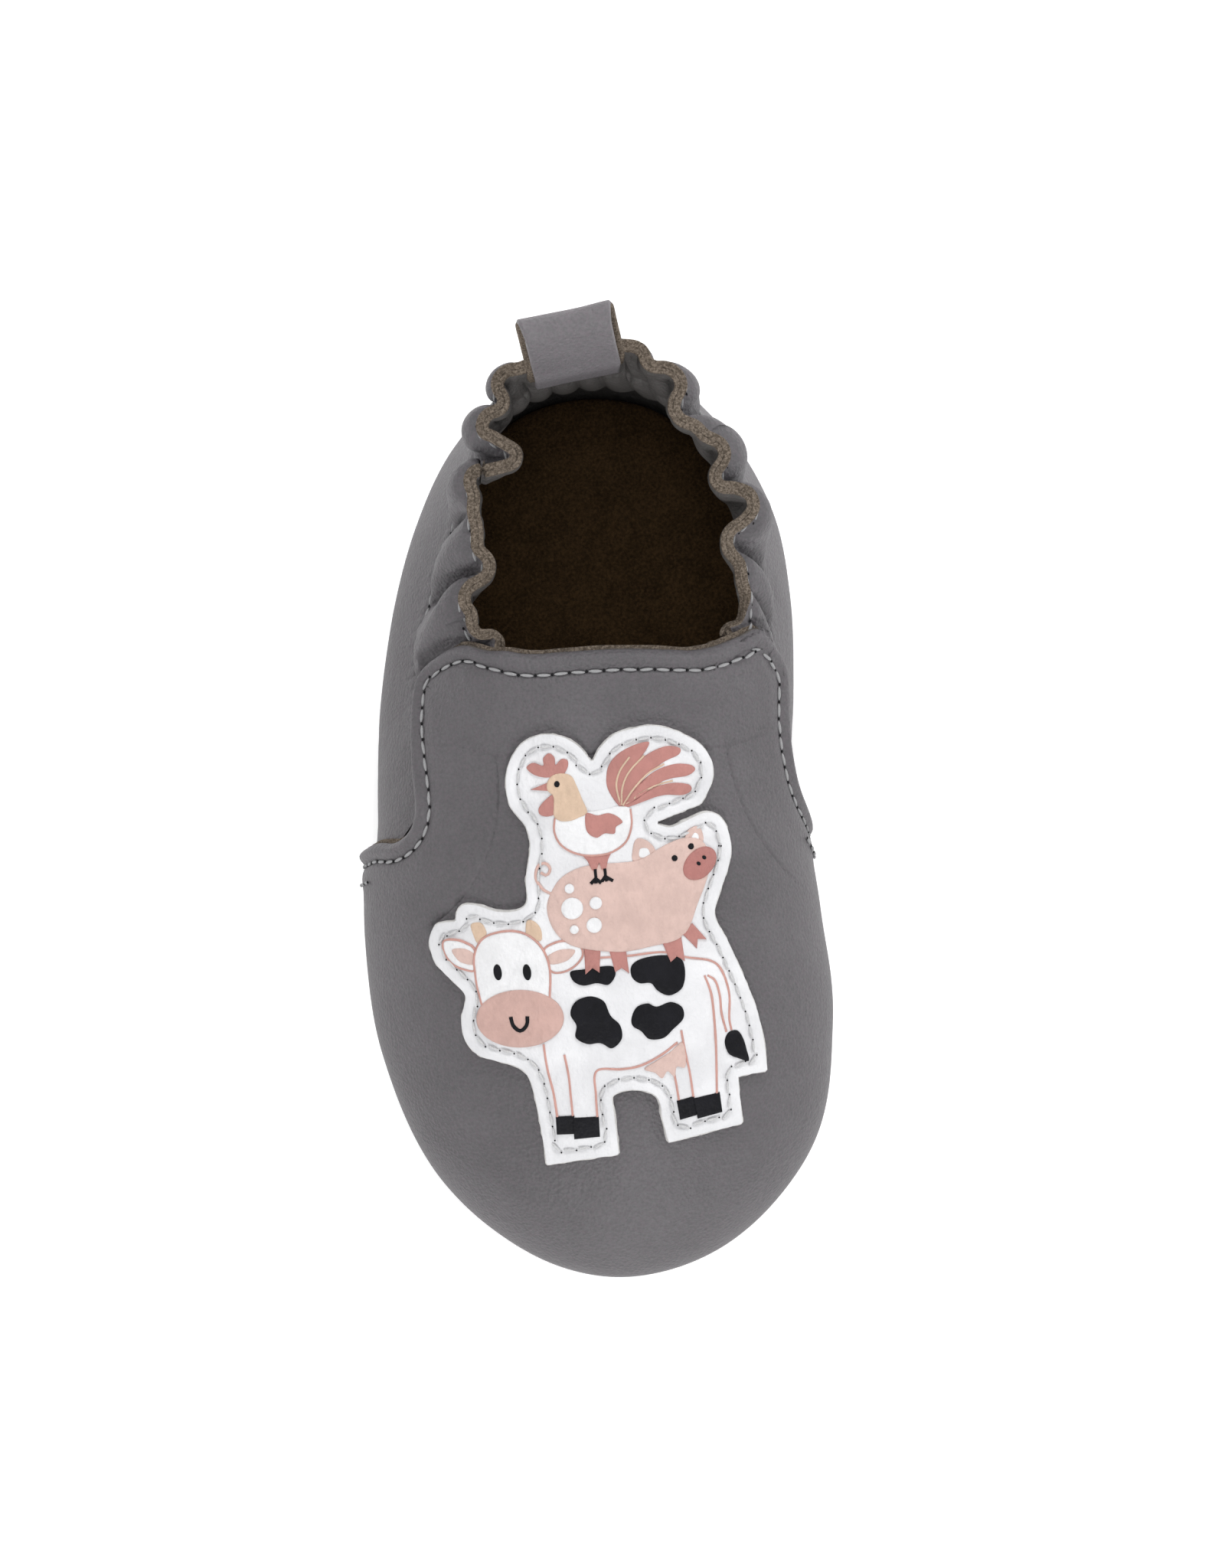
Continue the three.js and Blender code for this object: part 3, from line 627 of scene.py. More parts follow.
def closedSheet(outer, inner, keep):  # a grid's kept faces, given a thickness and walls
    quads = gridFaces(*outer.shape[:2], flip=True)
    quads = quads[keep.reshape(-1)[quads].all(1)]
    count = keep.size
    edges = {(a, b) for quad in quads.tolist() for a, b in zip(quad, quad[1:] + quad[:1])}
    walls = np.array([(b, a, a + count, b + count) for a, b in sorted(edges) if (b, a) not in edges])
    used, index = np.unique(np.concatenate([quads, quads[:, ::-1] + count, walls]), return_inverse=True)
    points = np.concatenate([outer.reshape(-1, 3), inner.reshape(-1, 3)])[used]
    return points, index.reshape(-1, 4), len(quads)


def vampPieces(name, band, body, materials, innerSlot, replaced, slot):
    # band and body are (outer, inner) grids; the body's border lies inside the band
    bandPiece, bandPoints, bandFaces = shell(name + "Band", *band, materials, 1, innerSlot)
    bandSlots = [face.material_index for face in bandPiece.data.polygons]
    bpy.data.objects.remove(bandPiece)
    bodyPoints, bodyFaces, outerCount = closedSheet(*body, vampWithin)
    bodySlots = np.where(np.arange(len(bodyFaces)) < outerCount, 0, 1 if innerSlot is None else innerSlot)
    points, faces = joined([(bandPoints, bandFaces), (bodyPoints, bodyFaces)])
    piece = makeObject(name, points, faces.tolist(), materials, np.concatenate([bandSlots, bodySlots]))
    faceOutwards(piece)
    settle(piece, "hinge", replaced)
    return piece


def faceOutwards(piece):
    work = bmesh.new()
    work.from_mesh(piece.data)
    bmesh.ops.recalc_face_normals(work, faces=work.faces)
    work.to_mesh(piece.data)
    work.free()


vampUv, vampDistances, bodyUv, bodyDistances, vampWithin = vampGrid()
vampOuterGrid, vampInnerGrid = vampSurface(vampUv, vampDistances)
bodyOuterGrid, bodyInnerGrid = vampSurface(bodyUv, bodyDistances, vamp["bodyTuck"])
vampPiece = vampPieces("vampAndTongue", (vampOuterGrid, vampInnerGrid), (bodyOuterGrid, bodyInnerGrid),
                       [finishes["leather"], finishes["vampEdge"]], None, ("vamp", "vamp_tongue"),
                       "grey_leather")
bodyTop, bodyTopFaces, bodyTopCount = closedSheet(bodyOuterGrid, bodyInnerGrid, vampWithin)
topGrid, topFaces = joined([(vampOuterGrid.reshape(-1, 3), gridFaces(*vampOuterGrid.shape[:2])),
                            (bodyTop, bodyTopFaces[:bodyTopCount])])
topTree = BVHTree.FromPolygons(topGrid.tolist(), topFaces.tolist())
print("vamp and tongue:", len(vampPiece.data.polygons), "faces")

# The lining under it, whose raw edge shows as a thin tan line along the tongue
liningEdge = {"showsBy": 0.55, "thickness": 0.5, "inner": 0.75}


def vampLiningShell():
    every = slice(0, None, 2)
    rows = np.concatenate([vampUv[:1], vampUv[4:16:3], vampUv[16::3]])[:, every]
    base, normal = formPoint(rows[..., 0], rows[..., 1]), formNormal(rows[..., 0], rows[..., 1])
    points = formPoint(rows[0, :, 0], rows[0, :, 1])
    outward = -np.cross(unit(np.gradient(points, axis=0)), normal[0])
    wave = 1 + 0.35 * softNoise(points, 3.5, 8)
    base[0] += unit(outward) * (liningEdge["showsBy"] * wave)[:, None]
    reachBack(base, rows[..., 0], smoothStep(1.93, 2.0, rows[..., 1]))
    inner = base + normal * liningEdge["inner"]
    bodyNormal = formNormal(bodyUv[..., 0], bodyUv[..., 1])
    under = formPoint(bodyUv[..., 0], bodyUv[..., 1]) + bodyNormal * liningEdge["inner"]
    return (inner + normal * liningEdge["thickness"], inner), (under + bodyNormal * liningEdge["thickness"],
                                                               under)


vampPieces("vampLining", *vampLiningShell(), [finishes["rawEdge"], finishes["rawEdge"], finishes["flesh"]], 2,
           ("vamp_lining", "tongue_lining"), "dark_lining")


# Quarter, gathered round the collar

collar = {
    "columns": 900, "from": 0.194, "to": 0.803, "leather": 1.0, "lining": 0.7, "gap": 0.02,
    "upperRow": 2.6, "puff": 3.5, "lowerPuff": 0.15, "pucker": 0.3, "foldReach": 15.0,
    "rimFlare": 0.3, "liningDrop": 0.0, "liningPuff": 2.4, "overhang": 0.3,
    "seamGroove": 0.3, "heelCalm": 0.62, "coveredRise": 0.3, "fluteSlope": 0.22, "seamDepth": 12.0,
}
# Folds of the rim, from the tongue's left side round the heel to its right side: place, depth inwards in mm,
# half width
rimFolds = [
    (0.258, 1.2, 0.010), (0.282, -0.9, 0.012), (0.306, -1.4, 0.010), (0.328, 1.9, 0.009), (0.350, 0.1, 0.009),
    (0.366, -0.6, 0.009), (0.384, -1.4, 0.009), (0.4, 4.6, 0.0085), (0.419, -1.0, 0.009), (0.434, 0.9, 0.007),
    (0.449, -1.5, 0.010), (0.545, -0.4, 0.009), (0.558, 0.7, 0.007), (0.574, -1.3, 0.011),
    (0.594, 2.1, 0.010),
    (0.611, 0.2, 0.007), (0.626, -1.6, 0.009), (0.644, 1.2, 0.008), (0.663, -2.9, 0.011), (0.686, 1.6, 0.010),
    (0.704, -0.2, 0.009), (0.724, -0.9, 0.011), (0.742, -0.7, 0.010), (0.757, 0.6, 0.008),
    (0.772, -0.7, 0.010),
    (0.790, 0.4, 0.006),
]
# How deep below the rim the casing's lower seam runs, place by place
casingRun = [(0.19, 15.5), (0.25, 15.5), (0.28, 16.5), (0.31, 16.8), (0.335, 14.5), (0.36, 12.0),
             (0.385, 11.0), (0.41, 10.5),
             (0.45, 11.5), (0.5, 12.0), (0.55, 11.5), (0.6, 11.0), (0.65, 12.0), (0.69, 14.0), (0.72, 15.0),
             (0.82, 15.5)]
# Where the leather creases from the rim down past the casing
quarterCreases = [0.19, 0.236, 0.277, 0.328, 0.3645, 0.4, 0.434, 0.472, 0.532, 0.558, 0.594, 0.644, 0.686,
                  0.716,
                  0.7345, 0.757, 0.79, 0.82]
liningCreases = [0.19, 0.24, 0.27, 0.30, 0.327, 0.36, 0.385, 0.414, 0.44, 0.46, 0.478, 0.497, 0.515, 0.535,
                 0.556,
                 0.58, 0.604, 0.63, 0.65, 0.675, 0.70, 0.73, 0.76, 0.79, 0.82]
# How far the vamp reaches over the quarter at each level: level, left place, and the same for the right
vampCover = {"left": ((1.0, 0.211), (1.24, 0.206), (1.45, 0.187), (1.52, 0.2), (1.56, 0.276), (1.7, 0.277),
                      (1.8, 0.274), (1.9, 0.264), (2.0, 0.24)),
             "right": ((1.0, 0.2145), (1.25, 0.218), (1.35, 0.2195), (1.43, 0.2295), (1.48, 0.245),
                       (1.51, 0.2725),
                       (1.6, 0.273), (1.7, 0.2715), (1.82, 0.2665), (1.92, 0.256), (2.0, 0.235))}


def wallLength(u):
    rows = np.linspace(1, 2, 25)
    run = formPoint(u[None, :], np.repeat(rows[:, None], len(u), 1))
    return np.linalg.norm(np.diff(run, axis=0), axis=-1).sum(0)


def puckerPattern(u, seed, spacing):  # 0 in each crease, rising to about 1 on the puff between two creases
    random = np.random.default_rng(seed)
    creases = [0.17]
    while creases[-1] < 0.83:
        creases.append(creases[-1] + random.uniform(*spacing))
    creases = np.array(creases)
    index = np.clip(np.searchsorted(creases, u) - 1, 0, len(creases) - 2)
    part = (u - creases[index]) / (creases[index + 1] - creases[index])
    size = random.uniform(0.5, 1.15, len(creases))[index]
    return size * np.sin(np.pi * np.clip(part, 0, 1))


def creasedPuffs(u, creases):  # rounded between two creases, pinched at each
    creases = np.array(creases)
    index = np.clip(np.searchsorted(creases, u) - 1, 0, len(creases) - 2)
    gap = creases[index + 1] - creases[index]
    part = np.clip((u - creases[index]) / gap, 0, 1)
    return np.sin(np.pi * part) ** 0.62 * np.minimum(1.1, (gap / 0.045) ** 0.6)


def casingAt(u):
    return np.interp(u, *np.array(casingRun).T) + 0.5 * softNoise(np.stack([u * 200, u * 0, u * 0], -1),
                                                                  9.0, 19)


def rimFold(u):
    return sum(depth * np.exp(-np.abs((u - place) / width) ** 2.3) for place, depth, width in rimFolds)


def foldOverhang(u):  # slides the leather along the rim so that each fold has a round head and steep sides
    slope = (rimFold(u + 0.0006) - rimFold(u - 0.0006)) / 0.0012 / 200.0
    return -collar["overhang"] * np.tanh(0.7 * (rimFold(u) - 0.2) * slope)


def uncovered(u, v):  # 0 where the vamp lies over the quarter, 1 in the open
    (leftV, leftU), (rightV, rightU) = (np.array(vampCover[side]).T for side in ("left", "right"))
    left = smoothStep(-0.004, 0.016, u - np.interp(v, leftV, leftU))
    right = smoothStep(-0.004, 0.016, 1 - u - np.interp(v, rightV, rightU))
    return left * right


def collarSurface(u, depth, level, side=1.0):
    # depth runs down from the rim and level out from the form, in mm; side -1 puffs inwards
    length = wallLength(u[0])[None, :]
    rimEnd = 2 - 0.22 * smoothStep(0.0, 0.05, 0.24 - u) - 0.3 * smoothStep(0.0, 0.012, u - 0.791)
    wall = rimEnd - np.minimum(depth, length) / length * (rimEnd - 1)
    v = np.clip(np.where(depth <= length, wall, 1 - (depth - length) / collar["seamDepth"]), -1, 2)
    base, smooth = formPoint(u, v), formNormal(u, v)
    drift = softNoise(np.stack([u * 200, depth * 0.1, u * 0], -1), 22.0, 11)
    wander = u + 0.009 * drift * smoothStep(1.5, 15, depth)
    upper, casing = collar["upperRow"], casingAt(u)
    fold = rimFold(wander)
    inward = inwardAt(opening, u)
    along = np.stack([-inward[..., 1], inward[..., 0]], -1)
    fade = smoothStep(collar["foldReach"], 0, depth) ** 1.2
    shifted = base.copy()
    shifted[..., :2] += inward * (fold * fade)[..., None] + along * (foldOverhang(wander) * fade)[..., None]
    start = upper if side > 0 else upper + 2.0
    arch = np.sin(np.pi * np.clip((depth - start) / (casing - start), 0, 1)).clip(0, 1)
    between = arch ** (0.45 if side > 0 else 0.8)
    below = smoothStep(casing - 0.5, casing + 3.5, depth) * smoothStep(casing + 20, casing + 3, depth)
    puff = creasedPuffs(wander, quarterCreases if side > 0 else liningCreases)
    fine = puckerPattern(wander, 22, (0.006, 0.012))
    nearRows = np.exp(-(((depth - upper) / 1.5) ** 2)) + np.exp(-(((depth - casing) / 2.2) ** 2))
    covered = uncovered(u, v)
    nearHeel = np.exp(-(((u - 0.5) / 0.10) ** 4))
    flatHeel = collar["heelCalm"] * np.exp(-(((u - 0.507) / 0.062) ** 4))  # small puffs beside the loop
    heel = 1 - flatHeel if side > 0 else 0.45 + 0.55 * nearHeel
    swell = collar["puff"] if side > 0 else collar["liningPuff"]
    lift = side * swell * (puff - 0.14) * between + side * collar["pucker"] * fine * nearRows
    lift = lift + (collar["lowerPuff"] if side > 0 else 0.0) * (puff - 0.45) * below
    if side < 0:  # the gathered lining hangs inwards at the heel, down to the insole
        hang = nearHeel * (1.2 + 1.5 * puff) * smoothStep(casing - 3, casing + 4, depth)
        lift = lift - hang * smoothStep(34, 24, depth)
    lift = lift - side * collar["seamGroove"] * np.exp(-(((depth - upper) / 0.45) ** 2))
    lift = lift - side * collar["seamGroove"] * np.exp(-(((depth - casing) / 0.6) ** 2))
    lift = lift * covered * heel + 0.16 * softNoise(base, 14.0, 5) * smoothStep(10, 22, depth)
    lift = lift * smoothStep(0.1, 0.7, v) + collar["rimFlare"] * smoothStep(2.4, 0, depth) * covered
    uneven = 0.35 * softNoise(np.stack([u * 200, u * 0, u * 0], -1), 6.0, 17)
    shifted[..., 2] += (uneven + collar["fluteSlope"] * fold) * fade * covered
    if side > 0:
        lift = lift + collar["coveredRise"] * (1 - covered) * smoothStep(0.3, 0.9, v)
    folded = unit(np.cross(np.gradient(shifted, axis=0), np.gradient(shifted, axis=1)))
    folded = folded * np.sign((folded * smooth).sum(-1, keepdims=True))
    share = (0.35 + 0.6 * smoothStep(9, 2, depth))[..., None]
    direction = unit(smooth * (1 - share) + folded * share)
    return shifted + direction * (level + lift)[..., None]


def collarRows(depths, levels, columns, side=1.0):  # a grid whose rows each have their own depth and level
    u = np.repeat(np.linspace(collar["from"], collar["to"], columns)[None, :], 2, 0)
    rows = []
    for depth, level in zip(depths, levels):
        pair = np.repeat([[depth], [depth + 0.25]], columns, 1)
        rows.append(collarSurface(u, pair, np.full(pair.shape, level), side)[0])
    return np.array(rows)


def quarterShell():
    outer = layers["quarterOuter"]
    inner = outer - collar["leather"]
    below = np.concatenate([np.linspace(0.5, 20, 44), np.linspace(21.3, 56, 26)])
    over = [(0.14, 0.0), (0.02, 0.15), (-0.03, 0.5), (-0.02, 0.85), (-0.01, 1.0)]
    inside = np.concatenate([np.linspace(0.5, 5, 8), np.linspace(6.5, 16, 8)])
    depths = [*below[::-1], *[depth for depth, _ in over], *inside]
    levels = [*([outer] * len(below)), *[outer + (inner - outer) * share for _, share in over],
              *([inner] * len(inside))]
    grid = collarRows(depths, levels, collar["columns"])
    faces = gridFaces(len(depths), collar["columns"], flip=True)
    row = np.repeat(np.arange(len(depths) - 1), collar["columns"] - 1)
    slots = np.where(row < len(below), 0, 1)
    slots = np.where(row >= len(below) + len(over), 2, slots)
    piece = makeObject("quarterLeather", grid.reshape(-1, 3), faces.tolist(),
                       [finishes["leather"], finishes["rawEdge"], finishes["flesh"]], slots)
    settle(piece, "bootie", ("quarter",))
    print("quarter:", len(faces), "faces")
    return grid, (len(below), len(below) + len(over))


def quarterLining():
    level = layers["quarterOuter"] - collar["leather"] - collar["gap"]
    thickness, drop = collar["lining"], collar["liningDrop"]
    over = [(-0.01, 0.0), (-0.02, 0.2), (0.02, 0.8), (0.12, 1.0)]
    behind = [9.0, 5.0, 2.0]
    inside = np.concatenate([np.linspace(0.5, 16, 32), np.linspace(17.5, 42, 14)])
    depths = [*[drop + depth for depth in behind], *[drop + depth for depth, _ in over], *(drop + inside)]
    levels = [*([level] * 3), *[level - thickness * share for _, share in over],
              *([level - thickness] * len(inside))]
    grid = collarRows(depths, levels, collar["columns"], -1.0)
    faces = gridFaces(len(depths), collar["columns"], flip=True)
    row = np.repeat(np.arange(len(depths) - 1), collar["columns"] - 1)
    slots = np.where((row >= 2) & (row < 7), 1, 0)
    piece = makeObject("quarterLining", grid.reshape(-1, 3), faces.tolist(),
                       [finishes["liningLeather"], finishes["rawEdge"]], slots)
    settle(piece, "bootie", ("quarter_lining",))
    return grid[2:8]


quarterGrid, (rimStart, rimStop) = quarterShell()
liningRim = quarterLining()


def hiddenElastic():
    level = layers["quarterOuter"] - collar["leather"] - 0.1
    grid = collarRows([4.5, 8.0, 12.5], [level] * 3, 200, 0.0)[:, 30:170]
    faces = gridFaces(*grid.shape[:2], flip=True)
    piece = makeObject("elasticBand", grid.reshape(-1, 3), faces.tolist(), [finishes["elastic"]])
    settle(piece, "bootie", ("collar_elastic",))


hiddenElastic()


# Sole

sole = {"columns": 220, "edgeRadius": 0.7, "insoleCup": 0.9, "outsoleInset": 4.0, "foamInset": 11.5,
        "insoleInset": 2.6}


def roundedSlab(name, inset, finish, node, cup=0.0, rings=40):
    bottom, top = (corner.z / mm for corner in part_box(node))
    u = np.linspace(0, 1, sole["columns"], endpoint=False)
    rim = closedCurve(footprint, u) + inwardAt(footprint, u) * inset
    middle = rim.mean(0)
    thick = top - bottom
    radius = min(sole["edgeRadius"], thick / 2)
    rows = []
    for share in np.linspace(0.02, 1, rings):
        plan = middle + (rim - middle) * share * (1 - radius / 45)
        rows.append((plan, top + cup * smoothStep(0.72, 1.0, share)))
    for angle in (0.5, 1.0):
        turn = angle * math.pi / 2
        rows.append((rim + inwardAt(footprint, u) * radius * (1 - math.sin(turn)),
                     top + cup - radius * (1 - math.cos(turn))))
    for angle in (1.0, 0.5, 0.0):
        turn = angle * math.pi / 2
        rows.append((rim + inwardAt(footprint, u) * radius * (1 - math.sin(turn)),
                     bottom + radius * (1 - math.cos(turn))))
    for share in np.linspace(0.9, 0.02, 8):
        rows.append((middle + (rim - middle) * share, bottom))
    grid = np.array([np.column_stack([plan, np.full(len(plan), height)]) for plan, height in rows])
    uneven = 0.10 * softNoise(grid, 9.0, 31) * (grid[..., 2] > bottom + 0.3)
    grid[..., 2] += uneven
    faces = gridFaces(*grid.shape[:2], closed=True).tolist()
    count = sole["columns"]
    last = (len(rows) - 1) * count
    faces += [list(range(count)), list(range(last, last + count))[::-1]]
    piece = makeObject(name, grid.reshape(-1, 3), faces, [finish])
    faceOutwards(piece)
    settle(piece, "bootie", (node,))
    return piece


roundedSlab("suedeOutsole", sole["outsoleInset"], finishes["outsole"], "outsole")
foamPad = roundedSlab("foamPad", sole["foamInset"], finishes["foam"], "foam_pad")
roundedSlab("suedeInsole", sole["insoleInset"], finishes["insole"], "insole",
            sole["insoleCup"], 60)


# Heel loop

heelLoop = {"width": 12.1, "rise": 12.9, "thickness": 1.15, "halfGap": 0.85, "lean": -21.0, "skew": -0.05,
            "yaw": 8.0,
            "standOff": 1.0, "tail": 5.0, "backWider": 0.14, "moved": (0.1, -1.5, 0.0)}


def loopShell():
    half = heelLoop["halfGap"] + heelLoop["thickness"] / 2
    rise, tail = heelLoop["rise"], heelLoop["tail"]
    profile = openCurve([(-0.55, -tail), (-0.6, -1.0), (-half * 0.9, rise * 0.22),
                         (-half * 1.15, rise * 0.55),
                         (-half, rise * 0.86), (-half * 0.35, rise * 0.985), (half * 0.35, rise * 0.985),
                         (half, rise * 0.86), (half * 1.15, rise * 0.55), (half * 0.9, rise * 0.22),
                         (0.6, -1.0),
                         (0.55, -tail)], 150)
    across = np.linspace(-1, 1, 44)
    tangent = unit(np.gradient(profile, axis=0))
    normal = np.stack([-tangent[:, 1], tangent[:, 0]], -1)
    sides = []
    for side in (1, -1):
        edge = np.sqrt(np.clip(1 - ((np.abs(across) - 0.955) / 0.045).clip(0, 1) ** 2, 0, 1)) * 0.8 + 0.2
        offset = side * heelLoop["thickness"] / 2 * edge
        y = profile[:, None, 0] + normal[:, None, 0] * offset[None, :]
        z = profile[:, None, 1] + normal[:, None, 1] * offset[None, :]
        wider = 1 - 0.02 + heelLoop["backWider"] * smoothStep(0.44, 0.60,
                                                              np.linspace(0, 1, len(profile)))[:, None]
        x = across[None, :] * heelLoop["width"] / 2 * wider
        sides.append(np.stack([x, y, z], -1))
    lean, yaw = math.radians(heelLoop["lean"]), math.radians(heelLoop["yaw"])
    root = formPoint(np.array(0.5), np.array(2.0)) - [0, 1.35, -heelLoop["standOff"]]
    placed = []
    for grid in sides:
        x, y, z = grid[..., 0] + heelLoop["skew"] * np.maximum(grid[..., 2], 0), grid[..., 1], grid[..., 2]
        bend = lean * smoothStep(-2.5, 3.0, z)
        y, z = y * np.cos(bend) - z * np.sin(bend), y * np.sin(bend) + z * np.cos(bend)
        x, y = x * math.cos(yaw) - y * math.sin(yaw), x * math.sin(yaw) + y * math.cos(yaw)
        moved = np.stack([x, y, z], -1) + root + heelLoop["moved"]
        moved += 0.12 * softNoise(moved, 5.0, 41)[..., None] * np.array([0.3, 1, 0.3])
        placed.append(moved)
    return placed


loopOuter, loopInner = loopShell()
loopPiece, _, _ = shell("heelLoop", loopOuter, loopInner, [finishes["litLoopLeather"], finishes["rawEdge"]], 1,
                        1)
faceOutwards(loopPiece)
rimZ = float(formPoint(np.array(0.5), np.array(2.0))[2])
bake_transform(loopPiece)
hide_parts("heel_loop", "heel_loop_tails")
print("sole and heel loop are made")


# Applique

applique = {"cell": 0.38, "thickness": 0.85, "edgeInset": 0.2, "stitchInset": 1.75, "groove": 0.2,
            "castFrom": 90.0}
patchOutline = [  # a third number of 1 marks a sharp corner
    (-11.5, -12.4), (-11.5, -9.6), (-10.9, -6.8), (-10.6, -4.6), (-11.0, -2.6), (-12.0, -1.0), (-13.0, 0.6),
    (-13.3, 3.2), (-13.0, 5.4), (-12.2, 7.2), (-10.6, 9.0), (-8.4, 9.8), (-6.2, 9.7), (-4.4, 9.0),
    (-2.8, 7.8),
    (-1.4, 5.8, 1), (-0.3, 7.6), (1.6, 9.1), (4.0, 9.8), (6.8, 10.1), (9.6, 9.5), (12.0, 8.4), (13.8, 7.0),
    (14.9, 4.8), (14.8, 2.6), (14.0, 0.7), (12.9, -1.0, 1), (10.2, -1.9), (6.9, -3.1, 1), (8.4, -3.6),
    (10.2, -3.0), (11.8, -2.3), (13.4, -1.8), (14.9, -2.1), (16.0, -3.3), (16.6, -5.2), (16.7, -7.4),
    (16.2, -9.6),
    (15.2, -12.0), (14.2, -14.5), (13.9, -16.0), (14.4, -17.6), (15.4, -19.5), (16.6, -22.6), (17.9, -26.2),
    (19.0, -30.0), (19.6, -34.0), (19.8, -37.8, 1), (15.7, -38.3, 1), (16.0, -44.7, 1), (5.4, -46.7, 1),
    (4.7, -43.2), (4.5, -41.0), (3.6, -39.8), (1.4, -39.2), (-0.6, -39.3), (-1.6, -39.9, 1), (-1.3, -44.0),
    (-1.1, -47.8, 1), (-11.3, -48.5, 1), (-11.8, -43.0), (-12.4, -38.4), (-13.2, -35.9), (-14.8, -34.7),
    (-17.2, -33.9), (-19.6, -32.8), (-21.1, -30.8), (-21.5, -28.0), (-21.0, -26.0), (-20.7, -24.8),
    (-21.4, -23.6), (-23.0, -21.8), (-24.6, -19.6), (-25.1, -17.0), (-24.6, -15.2), (-23.6, -14.3),
    (-21.3, -14.2, 1), (-21.0, -12.9), (-20.0, -12.1), (-18.2, -12.3), (-15.8, -13.3), (-13.8, -13.6),
    (-12.3, -13.3),
]


def shapedOutline(points,
                  step=0.45):  # a closed outline through the points, smooth except at its sharp corners
    count = len(points)
    places = np.array([point[:2] for point in points], float)
    sharp = [len(point) > 2 for point in points]
    first = sharp.index(True) if any(sharp) else 0
    places, sharp = np.roll(places, -first, 0), sharp[first:] + sharp[:first]
    stops = [k for k in range(count) if sharp[k]] + [count] if any(sharp) else [0, count]
    ring = np.vstack([places, places[:1]])
    if not any(sharp):
        return evenly(closedCurve(places, np.linspace(0, 1, 12 * count + 1)), max(24, int(3 * count)))[:-1]
    runs = []
    for start, stop in zip(stops, stops[1:]):
        run = ring[start:stop + 1]
        length = np.linalg.norm(np.diff(run, axis=0), axis=1).sum()
        runs.append(openCurve(run, max(3, int(length / step)))[:-1])
    return np.vstack(runs)


def signedDistance(query, outline):  # positive inside
    start, end = outline, np.roll(outline, -1, 0)
    result = np.empty(len(query))
    for low in range(0, len(query), 4000):
        part = query[low:low + 4000, None, :]
        along = end - start
        share = ((part - start) * along).sum(-1) / np.maximum((along * along).sum(-1), 1e-12)
        nearest = start + along * np.clip(share, 0, 1)[..., None]
        distance = np.linalg.norm(part - nearest, axis=-1).min(1)
        px, py = query[low:low + 4000, 0][:, None], query[low:low + 4000, 1][:, None]
        crosses = (start[:, 1] > py) != (end[:, 1] > py)
        height = np.where(np.abs(end[:, 1] - start[:, 1]) < 1e-12, 1e-12, end[:, 1] - start[:, 1])
        where = start[:, 0] + (py - start[:, 1]) * (end[:, 0] - start[:, 0]) / height
        inside = (crosses & (px < where)).sum(1) % 2 == 1
        result[low:low + 4000] = np.where(inside, distance, -distance)
    return result


def cutRegion(outline, cell, level):  # flat mesh of where the distance to the outline passes level
    low, high = outline.min(0) - cell, outline.max(0) + cell
    xs, ys = np.arange(low[0], high[0] + cell, cell), np.arange(low[1], high[1] + cell, cell)
    grid = np.stack(np.meshgrid(xs, ys, indexing="ij"), -1)
    value = signedDistance(grid.reshape(-1, 2), outline).reshape(grid.shape[:2]) - level
    value = np.where(np.abs(value) < 1e-5, 1e-5, value)
    points, index, faces = [], {}, []

    def corner(i, j):
        key = (i, j)
        if key not in index:
            index[key] = len(points)
            points.append(grid[i, j])
        return index[key]

    def crossing(a, b):
        key = (min(a, b), max(a, b))
        if key not in index:
            share = value[a] / (value[a] - value[b])
            index[key] = len(points)
            points.append(grid[a] + (grid[b] - grid[a]) * share)
        return index[key]

    for i in range(len(xs) - 1):
        for j in range(len(ys) - 1):
            ring = [(i, j), (i + 1, j), (i + 1, j + 1), (i, j + 1)]
            signs = [value[k] > 0 for k in ring]
            if not any(signs):
                continue
            face = []
            for k in range(4):
                here, after = ring[k], ring[(k + 1) % 4]
                if signs[k]:
                    face.append(corner(*here))
                if signs[k] != signs[(k + 1) % 4]:
                    face.append(crossing(here, after))
            if len(face) > 2:
                faces.append(face)
    return np.array(points), faces


def faceEdges(faces):
    return [(a, b) for face in faces for a, b in zip(face, face[1:] + face[:1])]


def borderLoops(edges):  # the closed runs of edges that have a face on one side only
    known = set(edges)
    follow = {a: b for a, b in edges if (b, a) not in known}
    loops = []
    while follow:
        first = next(iter(follow))
        loop, here = [first], follow.pop(first)
        while here != first:
            loop.append(here)
            here = follow.pop(here)
        loops.append(loop)
    return loops


def onVamp(plan, lift):  # lays plan points on the vamp, lift mm above it along its normal
    plan = np.asarray(plan, float)
    lift = np.broadcast_to(np.asarray(lift, float), (len(plan),))
    placed, normals = np.empty((len(plan), 3)), np.empty((len(plan), 3))
    for i, (x, y) in enumerate(plan):
        hit, normal, _, _ = topTree.ray_cast(Vector((x, y, applique["castFrom"])), Vector((0, 0, -1)))
        if normal.z < 0:
            normal = -normal
        normals[i] = normal
        placed[i] = hit
    placed += normals * lift[:, None]
    return placed, normals


